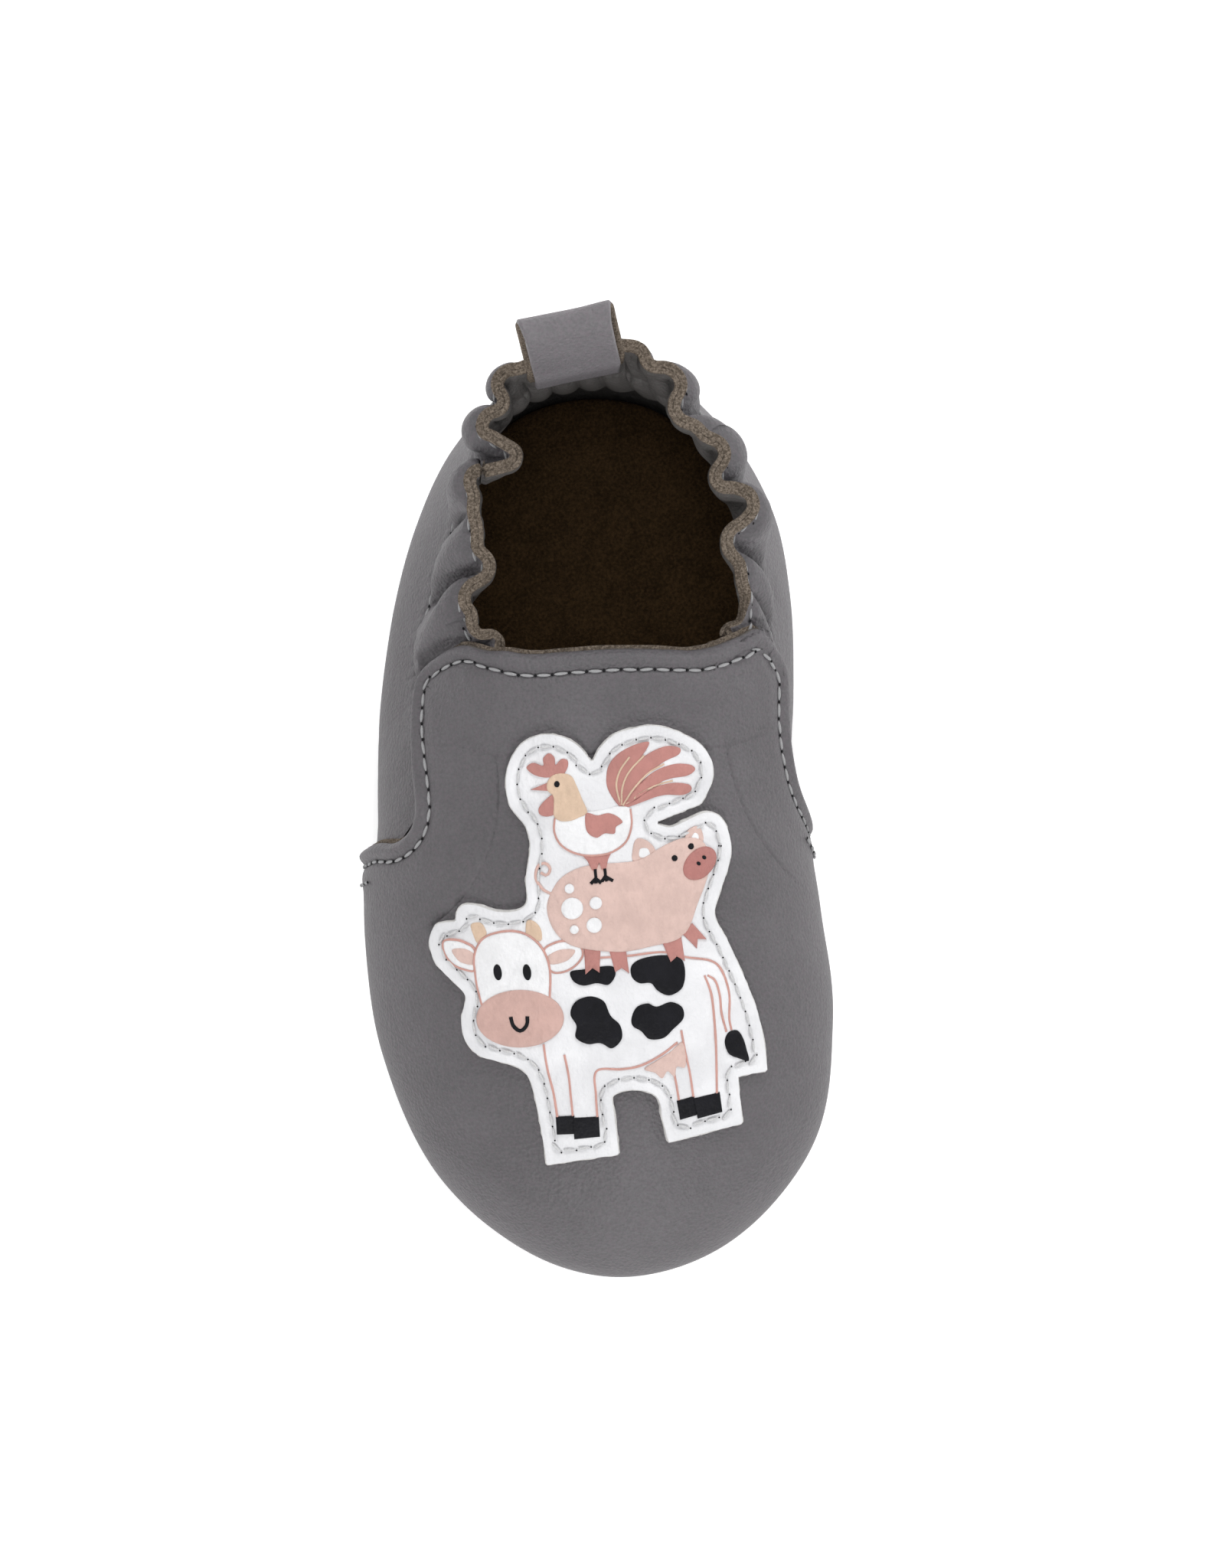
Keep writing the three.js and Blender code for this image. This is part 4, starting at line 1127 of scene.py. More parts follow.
def patchShell():
    outline = shapedOutline(patchOutline)
    plan, faces = cutRegion(outline, applique["cell"], applique["edgeInset"])
    inside = signedDistance(plan, outline)
    height = np.full(len(plan), applique["thickness"])
    height -= applique["groove"] * np.exp(-(((inside - applique["stitchInset"]) / 0.55) ** 2))
    height += 0.14 * np.exp(-(((inside - 1.0) / 0.5) ** 2))
    flat3 = np.column_stack([plan, np.zeros(len(plan))])
    height += 0.07 * softNoise(flat3, 3.0, 51) + 0.05 * softNoise(flat3, 1.3, 52)
    loops = borderLoops(faceEdges(faces))
    points, lifts = [plan], [height]
    count = len(plan)
    slots = [0] * len(faces)
    for loop in loops:
        ring = plan[loop]
        ahead, behind = np.roll(ring, -1, 0), np.roll(ring, 1, 0)
        along = unit(ahead - behind)
        outward = np.stack([along[:, 1], -along[:, 0]], -1)
        lower = list(loop)
        for out, share in ((0.55, 0.9), (0.95, 0.62), (1.0, 0.25), (0.9, -0.25)):
            fringe = 0.10 * softNoise(np.column_stack([ring, np.zeros(len(ring))]), 0.8, 53 + int(out * 10))
            points.append(ring + outward * (applique["edgeInset"] * out + fringe)[:, None])
            lifts.append(np.full(len(ring), applique["thickness"] * share))
            below = list(range(count, count + len(ring)))
            count += len(ring)
            for k in range(len(ring)):
                after = (k + 1) % len(ring)
                faces.append([lower[k], below[k], below[after], lower[after]])
                slots.append(1)
            lower = below
    placed, _ = onVamp(np.concatenate(points), np.concatenate(lifts))
    piece = makeObject("appliquePatch", placed, faces, [finishes["white"], finishes["whiteEdgeAndShade"]], slots)
    settle(piece, "hinge", ("patch_lower", "patch_upper"))
    print("applique patch:", len(faces), "faces")
    return outline


patchRound = patchShell()


# The printed and embossed animals

inks = ["line", "inkWhite", "pink", "muzzle", "rose", "deepRose", "beige", "black", "palePink"]
printed = {"points": [], "faces": [], "slots": [], "lifts": [], "count": 0, "raised": []}
emboss = {"film": 0.035, "lineWidth": 0.31, "lineRise": 0.05}


def oval(centre, width, height, turn=0.0, count=40):
    angle = np.linspace(0, 2 * math.pi, count, endpoint=False)
    x, y = np.cos(angle) * width / 2, np.sin(angle) * height / 2
    c, s = math.cos(math.radians(turn)), math.sin(math.radians(turn))
    return np.stack([centre[0] + x * c - y * s, centre[1] + x * s + y * c], -1)


def blob(points, count=72):
    return closedCurve(np.asarray(points, float), np.linspace(0, 1, count, endpoint=False))


def polygon(points, perSide=8):
    points = np.asarray(points, float)
    share = np.linspace(0, 1, perSide, endpoint=False)[None, :, None]
    return (points[:, None] + (np.roll(points, -1, 0) - points)[:, None] * share).reshape(-1, 2)


def heightSoFar(plan):  # how high the shapes laid before stand at each plan point
    total = np.zeros(len(plan))
    for centre, angles, radii, rise in printed["raised"]:
        offset = plan - centre
        reach = np.interp(np.arctan2(offset[:, 1], offset[:, 0]), angles, radii, period=2 * math.pi)
        share = np.linalg.norm(offset, axis=1) / reach
        total += np.where(share < 1, emboss["film"] + rise * np.sqrt(np.clip(1 - share**6, 0, 1)), 0)
    return total


def inkShape(outline, ink, rise=0.15, centre=None,
             rings=7):  # a raised printed shape, seen whole from its centre
    outline = np.asarray(outline, float)
    area = (outline[:, 0] * np.roll(outline[:, 1], -1) - np.roll(outline[:, 0], -1) * outline[:, 1]).sum()
    if area < 0:
        outline = outline[::-1]
    centre = outline.mean(0) if centre is None else np.asarray(centre, float)
    count, start = len(outline), printed["count"]
    shares = np.sin(np.linspace(0, 1, rings + 1)[1:] * math.pi / 2)
    rows = [centre + (outline - centre) * share for share in shares]
    plan = np.vstack([centre[None], *rows])
    own = np.concatenate([[rise],
                          *[np.full(count, rise * math.sqrt(max(0.0, 1 - share**6))) for share in shares]])
    lift = heightSoFar(plan) + emboss["film"] + own
    printed["points"] += [plan, outline]
    printed["lifts"] += [lift, np.full(count, -0.1)]
    faces = [[start, start + 1 + k, start + 1 + (k + 1) % count] for k in range(count)]
    for ring in range(rings):
        low = start + 1 + ring * count
        for k in range(count):
            after = (k + 1) % count
            faces.append([low + k, low + count + k, low + count + after, low + after])
    printed["faces"] += faces
    printed["slots"] += [inks.index(ink)] * len(faces)
    printed["count"] += 1 + count * (rings + 1)
    offset = outline - centre
    angles = np.arctan2(offset[:, 1], offset[:, 0])
    order = np.argsort(angles)
    printed["raised"].append((centre, angles[order], np.linalg.norm(offset, axis=1)[order], rise))


def inkLine(points, ink="line", width=None, closed=False, smooth=True):
    points = np.asarray(points, float)
    width = width or emboss["lineWidth"]
    if closed:
        path = closedCurve(points, np.linspace(0, 1, 8 * len(points) + 1))
    else:
        path = openCurve(points, max(12, 8 * len(points))) if smooth else points
    length = np.linalg.norm(np.diff(path, axis=0), axis=1).sum()
    path = evenly(path, max(4, int(length / 0.35)))
    along = unit(np.gradient(path, axis=0))
    if closed:
        along[0] = along[-1] = unit(path[1] - path[-2])
    side = np.stack([-along[:, 1], along[:, 0]], -1)
    start, count = printed["count"], len(path)
    for across, lift in ((-0.5, -0.12), (-0.45, 0.6), (0.0, 1.0), (0.45, 0.6), (0.5, -0.12)):
        row = path + side * across * width
        printed["points"].append(row)
        if lift < 0:
            printed["lifts"].append(np.full(count, lift))
        else:
            printed["lifts"].append(heightSoFar(row) + emboss["film"] + emboss["lineRise"] * lift)
    printed["faces"] += gridFaces(5, count, start, flip=True).tolist()
    printed["slots"] += [inks.index(ink)] * (4 * (count - 1))
    printed["count"] += 5 * count


def drawCow():
    inkLine([(-3.2, -20.9), (1.8, -20.9), (6.4, -20.7), (9.6, -21.6), (12.6, -22.2), (14.0, -23.3),
             (14.8, -25.6),
             (15.0, -27.6), (14.8, -30.2), (15.0, -31.8)])
    inkLine([(12.2, -24.2), (13.2, -25.0), (13.7, -27.0), (13.8, -29.4), (14.3, -32.0)])
    inkLine([(11.8, -24.2), (12.6, -27.0), (12.8, -32.0), (12.7, -36.0), (12.5, -40.4)])
    inkLine([(8.2, -31.4), (8.5, -34.0), (9.0, -37.2), (9.3, -40.6)])
    inkLine([(-3.9, -42.3), (-3.9, -39.4), (-3.6, -36.1), (-0.2, -36.1), (2.4, -35.8), (5.2, -34.6),
             (7.6, -33.0)])
    inkLine([(-10.5, -32.0), (-10.2, -35.4), (-9.6, -38.6), (-9.3, -42.0)])
    inkLine([(-7.8, -33.6), (-7.4, -36.6), (-7.3, -39.4), (-7.2, -42.0)])
    inkLine([(6.9, -37.2), (7.1, -38.8), (7.3, -40.8)])
    inkShape(blob([(2.9, -36.3), (4.6, -35.3), (6.6, -34.2), (8.2, -33.0), (8.6, -34.6), (8.4, -36.4),
                   (7.3, -36.3),
                   (6.9, -37.6), (6.0, -36.8), (5.2, -37.7), (4.3, -36.9)]), "pink", 0.14, (6.2, -35.6))
    for corners in ([(-9.5, -41.9), (-7.0, -41.9), (-7.0, -44.4), (-9.5, -44.3)],
                    [(-7.2, -42.2), (-3.7, -42.3), (-3.7, -45.0), (-7.2, -45.1)],
                    [(7.0, -40.9), (9.4, -40.4), (9.6, -43.0), (7.3, -43.5)],
                    [(9.3, -40.7), (12.9, -40.1), (13.1, -42.8), (9.7, -43.5)]):
        inkShape(polygon(corners), "black", 0.16)
    inkShape(blob([(-6.2, -22.5), (-4.4, -22.3), (-2.4, -22.1), (-0.5, -22.2), (-0.2, -23.4), (-1.2, -24.6),
                   (-2.8, -24.3),
                   (-4.6, -24.5), (-5.9, -23.8)]), "black", 0.22)
    inkShape(blob([(2.0, -22.4), (3.2, -21.5), (5.6, -21.1), (7.8, -21.3), (9.0, -22.1), (9.2, -24.0),
                   (8.6, -25.8),
                   (6.9, -26.6), (5.4, -25.9), (4.5, -24.8), (3.0, -24.7), (2.0, -23.8)]), "black", 0.28,
                   (6.2, -23.5))
    inkShape(blob([(-6.6, -28.2), (-5.8, -26.6), (-3.8, -26.0), (-2.0, -26.8), (-1.2, -28.8), (0.0, -30.2),
                   (0.1, -32.0),
                   (-1.3, -33.2), (-2.8, -32.4), (-4.6, -32.4), (-6.1, -31.4), (-5.9, -29.8)]), "black", 0.28,
             (-3.2, -29.6))
    inkShape(blob([(1.6, -29.3), (2.4, -27.9), (3.9, -27.5), (5.1, -28.0), (7.0, -27.5), (8.5, -28.3),
                   (8.6, -29.8),
                   (7.1, -31.2), (5.7, -32.3), (3.8, -32.3), (2.8, -31.2), (1.7, -30.4)]), "black", 0.28,
                   (5.0, -29.9))
    inkShape(blob([(14.0, -33.4), (14.6, -32.1), (15.8, -31.9), (16.5, -33.0), (16.9, -34.6), (17.1, -36.1),
                   (15.8, -35.7), (14.5, -35.0)]), "black", 0.24)
    ears = ([(-18.8, -18.5), (-20.2, -17.3), (-21.8, -16.8), (-23.0, -17.0), (-22.9, -18.6), (-21.9, -20.2),
             (-20.3, -21.1), (-18.9, -21.2)],
            [(-9.6, -19.4), (-8.0, -18.4), (-6.2, -18.3), (-4.7, -19.1), (-4.4, -20.4), (-5.6, -21.8),
             (-7.4, -22.5),
             (-8.9, -22.1)])
    insides = ([(-21.8, -18.2), (-20.2, -18.2), (-18.9, -19.1), (-18.9, -20.5), (-20.6, -20.1),
                (-21.4, -19.3)],
               [(-9.2, -20.2), (-7.4, -19.4), (-5.4, -19.6), (-6.3, -20.8), (-8.0, -21.3), (-9.1, -21.1)])
    for ear, inside in zip(ears, insides):
        inkShape(blob(ear), "inkWhite", 0.12)
        inkLine(ear, closed=True)
        inkShape(blob(inside), "pink", 0.06, rings=4)
    for horn in ([(-19.1, -15.0), (-17.8, -14.9), (-17.1, -16.2), (-17.5, -17.0), (-18.4, -17.6),
                  (-18.9, -16.4)],
                 [(-11.6, -15.2), (-10.6, -15.3), (-9.8, -16.4), (-9.8, -17.9), (-10.8, -17.9),
                  (-11.8, -17.2)]):
        inkShape(blob(horn, 40), "beige", 0.14)
    head = [(-19.0, -21.2), (-18.7, -18.6), (-17.5, -17.0), (-15.6, -16.4), (-13.4, -16.4), (-11.4, -17.2),
            (-9.8, -19.0),
            (-9.0, -21.4), (-9.1, -24.6), (-9.9, -27.4), (-13.6, -28.6), (-17.6, -27.4), (-18.7, -24.4)]
    inkShape(blob(head), "inkWhite", 0.22)
    inkLine(head, closed=True)
    inkShape(oval((-13.4, -28.3), 11.8, 7.8, -4, 64), "muzzle", 0.34)
    for x, y in ((-15.9, -21.8), (-12.0, -22.1)):
        inkShape(oval((x, y), 1.1, 2.2, 4, 28), "black", 0.12, rings=4)
    inkLine([(-14.5, -27.9), (-14.3, -29.1), (-13.4, -29.9), (-12.5, -29.2), (-12.3, -28.0)], "black", 0.55)


def drawPig():
    for leg in ([(-4.2, -19.2), (-1.9, -19.2), (-2.3, -22.9), (-3.2, -22.2), (-4.2, -23.0)],
                [(-0.9, -19.6), (1.4, -19.6), (1.7, -23.3), (0.7, -22.5), (-0.2, -23.0)],
                [(6.3, -19.0), (9.0, -18.6), (9.3, -22.1), (8.2, -21.4), (7.3, -22.1)],
                [(9.0, -18.2), (10.6, -17.0), (12.4, -19.3), (11.2, -19.2), (11.0, -20.5)]):
        inkShape(polygon(leg, 7), "rose", 0.16, rings=5)
    inkLine([(-7.8, -11.9), (-9.2, -11.0), (-10.0, -9.4), (-9.6, -7.9), (-8.6, -7.6), (-8.0, -8.4),
             (-8.5, -9.2),
             (-9.3, -8.8)], "palePink", 0.4)
    for ear, inside in (([(3.3, -8.2), (3.3, -6.2), (3.9, -5.1), (5.2, -5.4), (6.2, -6.6), (6.2, -8.0)],
                         [(4.1, -7.6), (4.2, -6.5), (5.2, -6.5), (5.4, -7.5)]),
                        ([(10.4, -5.8), (10.7, -4.5), (11.8, -3.8), (12.6, -4.3), (12.8, -5.8), (11.8, -6.4)],
                         [(11.1, -5.6), (11.6, -4.7), (12.1, -5.0), (12.0, -5.7)])):
        inkShape(blob(ear, 40), "pink", 0.12)
        inkShape(blob(inside, 24), "inkWhite", 0.04, rings=4)
    body = [(-8.8, -13.6), (-8.0, -11.4), (-6.6, -9.7), (-4.4, -8.6), (-1.6, -8.2), (1.4, -8.2),
            (3.8, -8.0), (6.0, -7.0),
            (8.2, -5.9), (10.4, -5.3), (12.4, -5.7), (13.5, -7.4), (13.4, -9.6), (12.6, -12.0), (11.4, -14.6),
            (10.2, -17.4), (8.4, -19.1), (5.0, -19.8), (1.0, -20.3), (-3.4, -19.7), (-6.4, -18.6),
            (-8.2, -16.4)]
    inkShape(blob(body, 110), "pink", 0.30, (2.8, -13.2), 12)
    inkShape(oval((12.1, -8.9), 5.4, 3.7, 42, 48), "deepRose", 0.22)
    for x, y in ((11.8, -8.9), (12.6, -8.1)):
        inkShape(oval((x, y), 0.5, 0.62, 42, 16), "black", 0.05, rings=3)
    for x, y in ((8.7, -8.0), (11.0, -6.5)):
        inkShape(oval((x, y), 0.8, 0.85, 0, 20), "black", 0.1, rings=4)
    for x, y, size in ((-5.4, -13.9, 2.95), (-2.2, -13.4, 1.7), (-5.6, -11.2, 1.3), (-2.6, -16.4, 2.1),
                       (-5.3, -16.8, 1.2)):
        inkShape(oval((x, y), size, size, 0, 30), "inkWhite", 0.2, rings=5)


def drawRooster():
    for feather in ([(1.9, -0.6), (0.4, 2.0), (0.6, 4.6), (2.0, 6.4), (4.2, 7.5), (6.3, 7.9), (5.9, 6.8),
                     (4.4, 5.0),
                     (3.1, 3.0), (2.3, 1.0)],
                    [(2.1, -0.6), (2.5, 2.0), (4.0, 4.6), (6.2, 6.3), (8.6, 7.2), (10.4, 6.9), (10.2, 6.0),
                     (8.2, 5.1),
                     (6.0, 3.6), (3.8, 1.2)],
                    [(2.3, -0.7), (4.0, 1.5), (6.4, 3.6), (9.2, 4.7), (11.6, 4.6), (12.3, 3.9), (11.2, 3.1),
                     (9.0, 2.8),
                     (6.6, 2.0), (4.2, 0.4)],
                    [(2.3, -0.8), (4.2, 0.3), (6.6, 1.7), (9.2, 2.2), (11.3, 1.9), (11.6, 1.1), (10.4, 0.5),
                     (8.0, 0.6),
                     (5.6, 0.1), (3.6, -0.6)]):
        inkShape(blob(feather, 64), "rose", 0.16, np.mean(feather[2:8], 0))
    for vein in ([(2.1, -0.4), (2.4, 2.0), (3.5, 4.1), (5.6, 6.1)],
                 [(2.3, -0.5), (3.8, 1.6), (6.0, 3.7), (8.2, 4.8)],
                 [(2.4, -0.6), (4.6, 0.9), (7.0, 2.0), (9.2, 2.5)],
                 [(2.0, -0.3), (1.6, 2.2), (2.2, 4.2), (3.6, 6.0)]):
        inkLine(vein, "beige", 0.26)
    body = [(-6.9, -1.6), (-7.1, -3.4), (-6.4, -5.2), (-4.6, -6.5), (-2.2, -7.0), (0.4, -6.7), (2.4, -5.4),
            (3.3, -3.2),
            (3.3, -1.0), (1.6, -0.6), (-0.2, -0.9), (-3.4, -1.2)]
    inkShape(blob([(-3.6, -6.2), (0.3, -6.0), (-0.2, -7.8), (-0.6, -9.0), (-1.1, -8.9), (-1.4, -8.1),
                   (-1.9, -9.0),
                   (-2.4, -8.9), (-2.9, -7.8)]), "rose", 0.14, (-1.6, -7.2))
    inkShape(blob(body), "inkWhite", 0.18)
    inkLine(body[:9], "line", 0.3)
    inkShape(blob([(-7.9, 4.0), (-9.3, 4.5), (-10.2, 5.5), (-9.3, 6.1), (-8.0, 5.6), (-7.9, 6.6),
                   (-7.1, 7.2), (-6.4, 6.6),
                   (-6.3, 5.6), (-5.5, 6.3), (-4.7, 6.1), (-4.7, 5.2), (-5.4, 4.2), (-6.6, 4.0)], 90),
                   "rose", 0.14,
             (-6.9, 4.9))
    inkShape(polygon([(-9.9, 2.5), (-7.2, 2.1), (-7.2, 3.4)], 7), "rose", 0.08, rings=4)
    inkShape(blob([(-6.9, 1.6), (-8.2, 0.8), (-9.0, -0.2), (-8.8, -1.0), (-7.8, -1.3), (-6.7, -0.9),
                   (-6.6, 0.3)], 40),
             "rose", 0.14)
    inkShape(blob([(-7.6, 3.3), (-6.8, 4.2), (-5.5, 4.4), (-4.3, 3.9), (-3.7, 2.6), (-3.1, 0.8), (-2.5, -1.1),
                   (-3.6, -1.7), (-4.9, -2.1), (-6.2, -2.0), (-7.0, -1.3), (-6.9, 0.2), (-6.9, 1.4),
                   (-7.6, 2.2)]),
             "beige", 0.2, (-5.2, 1.2))
    inkShape(oval((-6.3, 3.0), 0.75, 0.85, 0, 20), "black", 0.1, rings=4)
    inkShape(blob([(-2.6, -1.2), (-1.2, -1.6), (0.2, -1.4), (1.3, -1.8), (2.1, -2.7), (1.2, -3.3),
                   (0.9, -4.2),
                   (-0.4, -4.1), (-1.5, -4.6), (-2.6, -3.9), (-2.9, -2.6)]), "rose", 0.16)
    for x, y, toes in ((-2.0, -10.3, (-0.7, 0.0, 0.7)), (-0.7, -10.1, (-0.5, 0.2, 1.0))):
        inkLine([(x, -8.8), (x + 0.05, y)], "black", 0.45, smooth=False)
        for toe in toes:
            inkLine([(x, y + 0.2), (x + toe, y - 0.45)], "black", 0.5, smooth=False)


drawCow()
drawPig()
drawRooster()


def layPrint():
    plan, lift = np.concatenate(printed["points"]), np.concatenate(printed["lifts"])
    placed, _ = onVamp(plan, lift + applique["thickness"] + 0.04)
    piece = makeObject("animalPrint", placed, printed["faces"], [finishes[ink] for ink in inks],
                       printed["slots"])
    settle(piece, "hinge", ())
    print("animal print:", len(printed["faces"]), "faces")


layPrint()


# Stitches and fuzz, by geometry nodes

def newTree(name, inputs):
    tree = bpy.data.node_groups.new(name, "GeometryNodeTree")
    tree.interface.new_socket("Geometry", in_out="INPUT", socket_type="NodeSocketGeometry")
    for label, kind, value in inputs:
        socket = tree.interface.new_socket(label, in_out="INPUT", socket_type=kind)
        if value is not None:
            socket.default_value = value
    tree.interface.new_socket("Geometry", in_out="OUTPUT", socket_type="NodeSocketGeometry")
    return tree


class Builder:  # adds nodes to a geometry tree and links them
    def __init__(self, tree):
        self.tree = tree
        self.start = tree.nodes.new("NodeGroupInput")
        self.end = tree.nodes.new("NodeGroupOutput")

    def add(self, kind, settings, inputs, output=0):
        node = self.tree.nodes.new(kind)
        for key, value in settings.items():
            setattr(node, key, value)
        for key, value in inputs.items():
            if isinstance(value, bpy.types.NodeSocket):
                self.tree.links.new(value, node.inputs[key])
            else:
                node.inputs[key].default_value = value
        return node.outputs[output]


def stitchTree():
    tree = newTree("stitchRow", [("Pitch", "NodeSocketFloat", 0.0024), ("Length", "NodeSocketFloat", 0.0019),
                                 ("Thickness", "NodeSocketFloat", 0.0005), ("Seed", "NodeSocketInt", 1),
                                 ("Hole Size", "NodeSocketFloat", 1.0),
                                 ("Thread", "NodeSocketMaterial", None),
                                 ("Hole", "NodeSocketMaterial", None)])
    make = Builder(tree)
    given = make.start.outputs
    curve = make.add("GeometryNodeMeshToCurve", {}, {0: given["Geometry"]})
    spaced = make.add("GeometryNodeResampleCurve", {"mode": "LENGTH"},
                      {"Curve": curve, "Length": given["Pitch"]})
    tangent = make.add("GeometryNodeInputTangent", {}, {})
    upward = make.add("GeometryNodeInputNamedAttribute", {"data_type": "FLOAT_VECTOR"}, {"Name": "upward"})
    along = make.add("FunctionNodeAlignRotationToVector", {"axis": "X"}, {"Vector": tangent})
    upright = make.add("FunctionNodeAlignRotationToVector", {"axis": "Z", "pivot_axis": "X"},
                       {"Rotation": along, "Vector": upward})
    sway = make.add("FunctionNodeRandomValue", {"data_type": "FLOAT_VECTOR"},
                    {0: (-0.05, -0.08, -0.10), 1: (0.05, 0.08, 0.10), "Seed": given["Seed"]})
    swayTurn = make.add("FunctionNodeEulerToRotation", {}, {0: sway})
    turned = make.add("FunctionNodeRotateRotation", {"rotation_space": "LOCAL"}, {0: upright, 1: swayTurn})
    bead = make.add("GeometryNodeMeshUVSphere", {}, {"Segments": 12, "Rings": 7, "Radius": 0.5})
    size = make.add("ShaderNodeCombineXYZ", {},
                    {"X": given["Length"], "Y": given["Thickness"], "Z": given["Thickness"]})
    stitch = make.add("GeometryNodeTransform", {}, {"Geometry": bead, "Scale": size})
    stitch = make.add("GeometryNodeSetMaterial", {}, {"Geometry": stitch, "Material": given["Thread"]})
    rows = make.add("GeometryNodeInstanceOnPoints", {},
                    {"Points": spaced, "Instance": stitch, "Rotation": turned})
    # a flattened near-black dot at each needle hole, painted shade where the thread goes into the leather
    dot = make.add("GeometryNodeMeshUVSphere", {}, {"Segments": 8, "Rings": 5, "Radius": 0.5})
    pitchHalf = make.add("ShaderNodeMath", {"operation": "MULTIPLY"}, {0: given["Pitch"], 1: 0.5})
    back = make.add("ShaderNodeCombineXYZ", {}, {"X": pitchHalf})
    holeWidth = make.add("ShaderNodeMath", {"operation": "MULTIPLY"},
                         {0: given["Thickness"], 1: given["Hole Size"]})
    holeSize = make.add("ShaderNodeVectorMath", {"operation": "SCALE"},
                        {0: (1.0, 0.95, 0.5), "Scale": holeWidth})
    holeShade = make.add("GeometryNodeTransform", {}, {"Geometry": dot, "Translation": back, "Scale": holeSize})
    holeShade = make.add("GeometryNodeSetMaterial", {}, {"Geometry": holeShade, "Material": given["Hole"]})
    holeShades = make.add("GeometryNodeInstanceOnPoints", {},
                     {"Points": spaced, "Instance": holeShade, "Rotation": upright})
    joined = tree.nodes.new("GeometryNodeJoinGeometry")
    tree.links.new(holeShades, joined.inputs[0])
    tree.links.new(rows, joined.inputs[0])
    real = make.add("GeometryNodeRealizeInstances", {}, {0: joined.outputs[0]})
    smooth = make.add("GeometryNodeSetShadeSmooth", {}, {0: real})
    tree.links.new(smooth, make.end.inputs[0])
    return tree


def fuzzTree():
    tree = newTree("suedeFuzz", [("Density", "NodeSocketFloat", 4e6), ("Length", "NodeSocketFloat", 0.0006),
                                 ("Thickness", "NodeSocketFloat", 0.00005),
                                 ("Spread", "NodeSocketFloat", 0.9),
                                 ("Seed", "NodeSocketInt", 1), ("Fibre", "NodeSocketMaterial", None)])
    make = Builder(tree)
    given = make.start.outputs
    scatter = tree.nodes.new("GeometryNodeDistributePointsOnFaces")
    tree.links.new(given["Geometry"], scatter.inputs["Mesh"])
    tree.links.new(given["Density"], scatter.inputs["Density"])
    tree.links.new(given["Seed"], scatter.inputs["Seed"])
    lean = make.add("FunctionNodeRandomValue", {"data_type": "FLOAT_VECTOR"},
                    {0: (-1.0, -1.0, -1.0), 1: (1.0, 1.0, 1.0), "Seed": given["Seed"]})
    leaning = make.add("ShaderNodeVectorMath", {"operation": "SCALE"}, {0: lean, "Scale": given["Spread"]})
    pointing = make.add("ShaderNodeVectorMath", {"operation": "ADD"},
                        {0: scatter.outputs["Normal"], 1: leaning})
    turn = make.add("FunctionNodeAlignRotationToVector", {"axis": "Z"}, {"Vector": pointing})
    size = make.add("FunctionNodeRandomValue", {"data_type": "FLOAT"},
                    {2: 0.35, 3: 1.15, "Seed": given["Seed"]}, 1)
    hair = make.add("GeometryNodeMeshCone", {"fill_type": "NONE"},
                    {"Vertices": 3, "Radius Top": 0.0, "Radius Bottom": given["Thickness"],
                     "Depth": given["Length"]})
    hairs = make.add("GeometryNodeInstanceOnPoints", {},
                     {"Points": scatter.outputs["Points"], "Instance": hair, "Rotation": turn, "Scale": size})
    real = make.add("GeometryNodeRealizeInstances", {}, {0: hairs})
    dressed = make.add("GeometryNodeSetMaterial", {}, {0: real, "Material": given["Fibre"]})
    tree.links.new(dressed, make.end.inputs[0])
    return tree


trees = {"stitch": stitchTree(), "fuzz": fuzzTree()}


def grown(source, tree, settings,
          name):  # runs a tree on a source object and keeps the result as a plain mesh
    modifier = source.modifiers.new("grow", "NODES")
    modifier.node_group = tree
    for item in tree.interface.items_tree:
        if item.item_type == "SOCKET" and item.in_out == "INPUT" and item.name in settings:
            modifier[item.identifier] = settings[item.name]
    bpy.context.view_layer.update()
    evaluated = source.evaluated_get(bpy.context.evaluated_depsgraph_get())
    mesh = bpy.data.meshes.new_from_object(evaluated)
    source.modifiers.remove(modifier)
    bpy.data.objects.remove(source)
    mesh.name = name
    piece = bpy.data.objects.new(name, mesh)
    scene.collection.objects.link(piece)
    return piece


def seamSource(path, upward):
    mesh = bpy.data.meshes.new("seamPath")
    mesh.from_pydata((path * mm).tolist(), [(i, i + 1) for i in range(len(path) - 1)], [])
    attribute = mesh.attributes.new("upward", "FLOAT_VECTOR", "POINT")
    attribute.data.foreach_set("vector", upward.astype(np.float32).ravel())
    source = bpy.data.objects.new("seamPath", mesh)
    scene.collection.objects.link(source)
    return source


stitching = {"pitch": 2.35, "length": 1.95, "thickness": 0.46, "patchPitch": 2.05, "patchLength": 1.7,
             "patchThickness": 0.40, "collarPitch": 2.3, "collarLength": 1.75, "tackPitch": 2.0,
             "tackLength": 1.7, "tackInset": 2.6, "tackPoints": 14, "raise": 0.16, "tackRaise": 0.32,
             "cornerShare": 0.93, "seamLevel": 0.98, "collarColumns": 1600, "collarFrom": 0.232,
             "collarTo": 0.782}


def sewRow(name, path, upward, pitch, length, thickness, body, replaced, seed, threadFinish="thread",
           holeSize=1.0):
    source = seamSource(path, upward)
    piece = grown(source, trees["stitch"], {
        "Pitch": pitch * mm, "Length": length * mm, "Thickness": thickness * mm, "Seed": seed,
        "Thread": finishes[threadFinish], "Hole": finishes["holeShade"], "Hole Size": holeSize}, name)
    settle(piece, body, replaced)
    return piece


def gridNormals(grid):
    return unit(np.cross(np.gradient(grid, axis=1), np.gradient(grid, axis=0)))


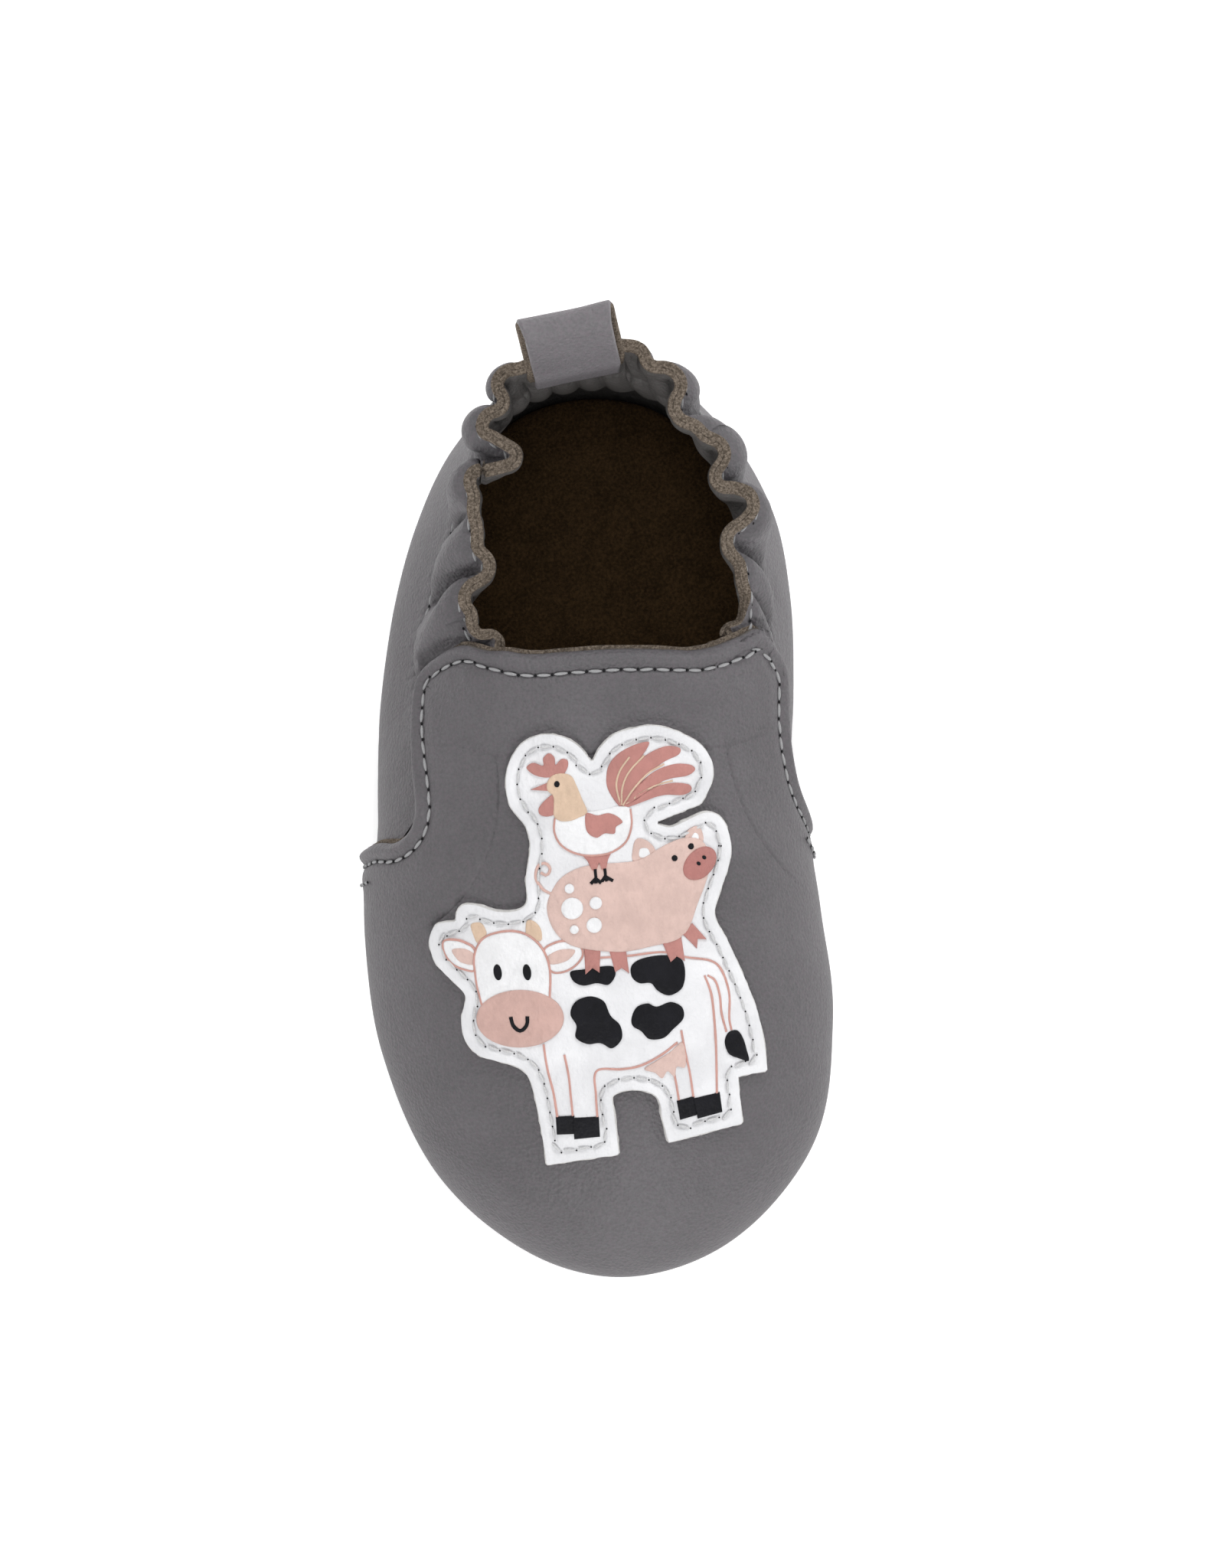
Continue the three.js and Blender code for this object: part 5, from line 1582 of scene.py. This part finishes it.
def sewTongue():
    row = vamp["lipDistances"].index(vamp["stitchInset"])
    upward = gridNormals(vampOuterGrid)[row]
    outside = formNormal(vampUv[row, :, 0], vampUv[row, :, 1])
    upward = upward * np.sign((upward * outside).sum(-1, keepdims=True))
    path = vampOuterGrid[row] + upward * stitching["raise"]
    edge, base = formPoint(*vampUv[0].T), formPoint(*vampUv[row].T)
    nearest = np.linalg.norm(base[:, None] - edge[None], axis=-1).min(1)
    keep = (vampUv[row, :,
                   1] > stitching["seamLevel"]) & (nearest > stitching["cornerShare"] * vamp["stitchInset"])
    path, upward = path[keep], upward[keep]
    for k, (point,
            up) in enumerate(zip(path, upward)):  # onto the topmost leather where the lip folds at a corner
        hit = topTree.ray_cast(Vector(point + up * 2.5), Vector(-up), 4.0)[0]
        if hit is not None:
            path[k] = np.array(hit) + up * stitching["raise"]
    sewRow("tongueTopstitch", path, upward, stitching["pitch"], stitching["length"], stitching["thickness"],
           "hinge",
           ("tongue_topstitch", "wing_topstitch_left", "wing_topstitch_right"), 3)


def sewTacks():
    for side, node, seed in ((-1, "side_tack_left", 4), (1, "side_tack_right", 5)):
        inset = edgeWise(vampUv[vamp["lipDistances"].index(vamp["stitchInset"])], stitching["tackInset"])
        columns = range(len(inset)) if side < 0 else range(len(inset) - 1, -1, -1)
        chosen = [c for c in columns if stitching["seamLevel"] < inset[c, 1]][:stitching["tackPoints"]]
        uv = inset[chosen]
        base, upward = formPoint(uv[:, 0], uv[:, 1]), formNormal(uv[:, 0], uv[:, 1])
        path = base + upward * (layers["vampOuter"] + stitching["tackRaise"])
        sewRow("sideTackLeft" if side < 0 else "sideTackRight", path, upward, stitching["tackPitch"],
               stitching["tackLength"], stitching["thickness"], "bootie", (node,), seed)


def sewCollar():
    count = stitching["collarColumns"]
    u = np.linspace(collar["from"], collar["to"], count)
    shown = (u > stitching["collarFrom"]) & (u < stitching["collarTo"])
    for depth, name, node, seed in ((np.full(count, collar["upperRow"]), "collarTopstitch",
                                     "collar_topstitch", 6),
                                    (casingAt(u), "casingStitch", "casing_stitch", 7)):
        near = collarSurface(np.repeat(u[None], 2, 0), np.stack([depth, depth + 0.25]),
                             np.full((2, count), layers["quarterOuter"] + 0.2))[0]
        upward = formNormal(u, np.full(len(u), 1.8))
        sewRow(name, near[shown], upward[shown], stitching["collarPitch"], stitching["collarLength"],
               stitching["thickness"], "bootie", (node,), seed)


def sewPatch():
    plan, faces = cutRegion(patchRound, 0.5, applique["stitchInset"])
    loop = max(borderLoops(set(faceEdges(faces))), key=len)
    run = plan[loop + loop[:1]]
    run = evenly(relaxed(run, 3), 900)
    placed, normals = onVamp(run, applique["thickness"] + 0.02)
    sewRow("patchStitch", placed, normals, stitching["patchPitch"], stitching["patchLength"],
           stitching["patchThickness"],
           "hinge", ("patch_stitch_lower", "patch_stitch_upper"), 8, "paleThread", 0.7)


sewTongue()
sewTacks()
sewCollar()
sewPatch()
print("stitches are sewn")


fuzz = {"rimDensity": 4.2e7, "edgeDensity": 2.2e7, "length": 0.5, "tongueLength": 0.35, "loopLength": 0.45,
        "thickness": 0.03, "spread": 0.9}


def fuzzOn(name, grid, finish, density, length, seed, body, flip=False):
    faces = gridFaces(*grid.shape[:2], flip=flip)
    source = makeObject("fuzzSource", grid.reshape(-1, 3), faces.tolist(), [finish])
    piece = grown(source, trees["fuzz"],
                  {"Density": density, "Length": length * mm, "Thickness": fuzz["thickness"] * mm,
                                          "Spread": fuzz["spread"], "Seed": seed, "Fibre": finish}, name)
    settle(piece, body)


fuzzOn("collarFuzz", quarterGrid[rimStart - 1:rimStop + 1], finishes["rawEdge"], fuzz["rimDensity"],
       fuzz["length"], 11,
       "bootie", flip=True)
fuzzOn("liningFuzz", liningRim, finishes["rawEdge"], fuzz["rimDensity"], fuzz["length"], 14, "bootie",
       flip=True)
fuzzOn("tongueFuzz",
       np.array([vampInnerGrid[0], (vampInnerGrid[0] + vampOuterGrid[0]) / 2, vampOuterGrid[0]]),
       finishes["vampEdge"], fuzz["edgeDensity"], fuzz["tongueLength"], 12, "hinge")
for side, column in (("Left", 0), ("Right", -1)):
    strip = np.stack([loopInner[30:-30, column], loopOuter[30:-30, column]], 0)
    fuzzOn("loopFuzz" + side, strip, finishes["rawEdge"], fuzz["edgeDensity"], fuzz["loopLength"], 13,
           "pull_loop",
           flip=side == "Left")
print("fuzz is grown")


# Floor

def makeFloor():
    finish = Finish("paleFloor", 0.9, Specular_IOR_Level=0.1)
    finish.shader.inputs["Base Color"].default_value = (*studio["floorColour"], 1.0)
    finish.shader.inputs["Emission Color"].default_value = (1.0, 1.0, 1.0, 1.0)
    finish.shader.inputs["Emission Strength"].default_value = studio["floorGlow"]
    half = studio["floorSize"] / 2 / mm
    floor = makeObject("floor", [(-half, -half, 0), (half, -half, 0), (half, half, 0), (-half, half, 0)],
                       [(0, 1, 2, 3)], [finish.material])


makeFloor()
print("all pieces are made")
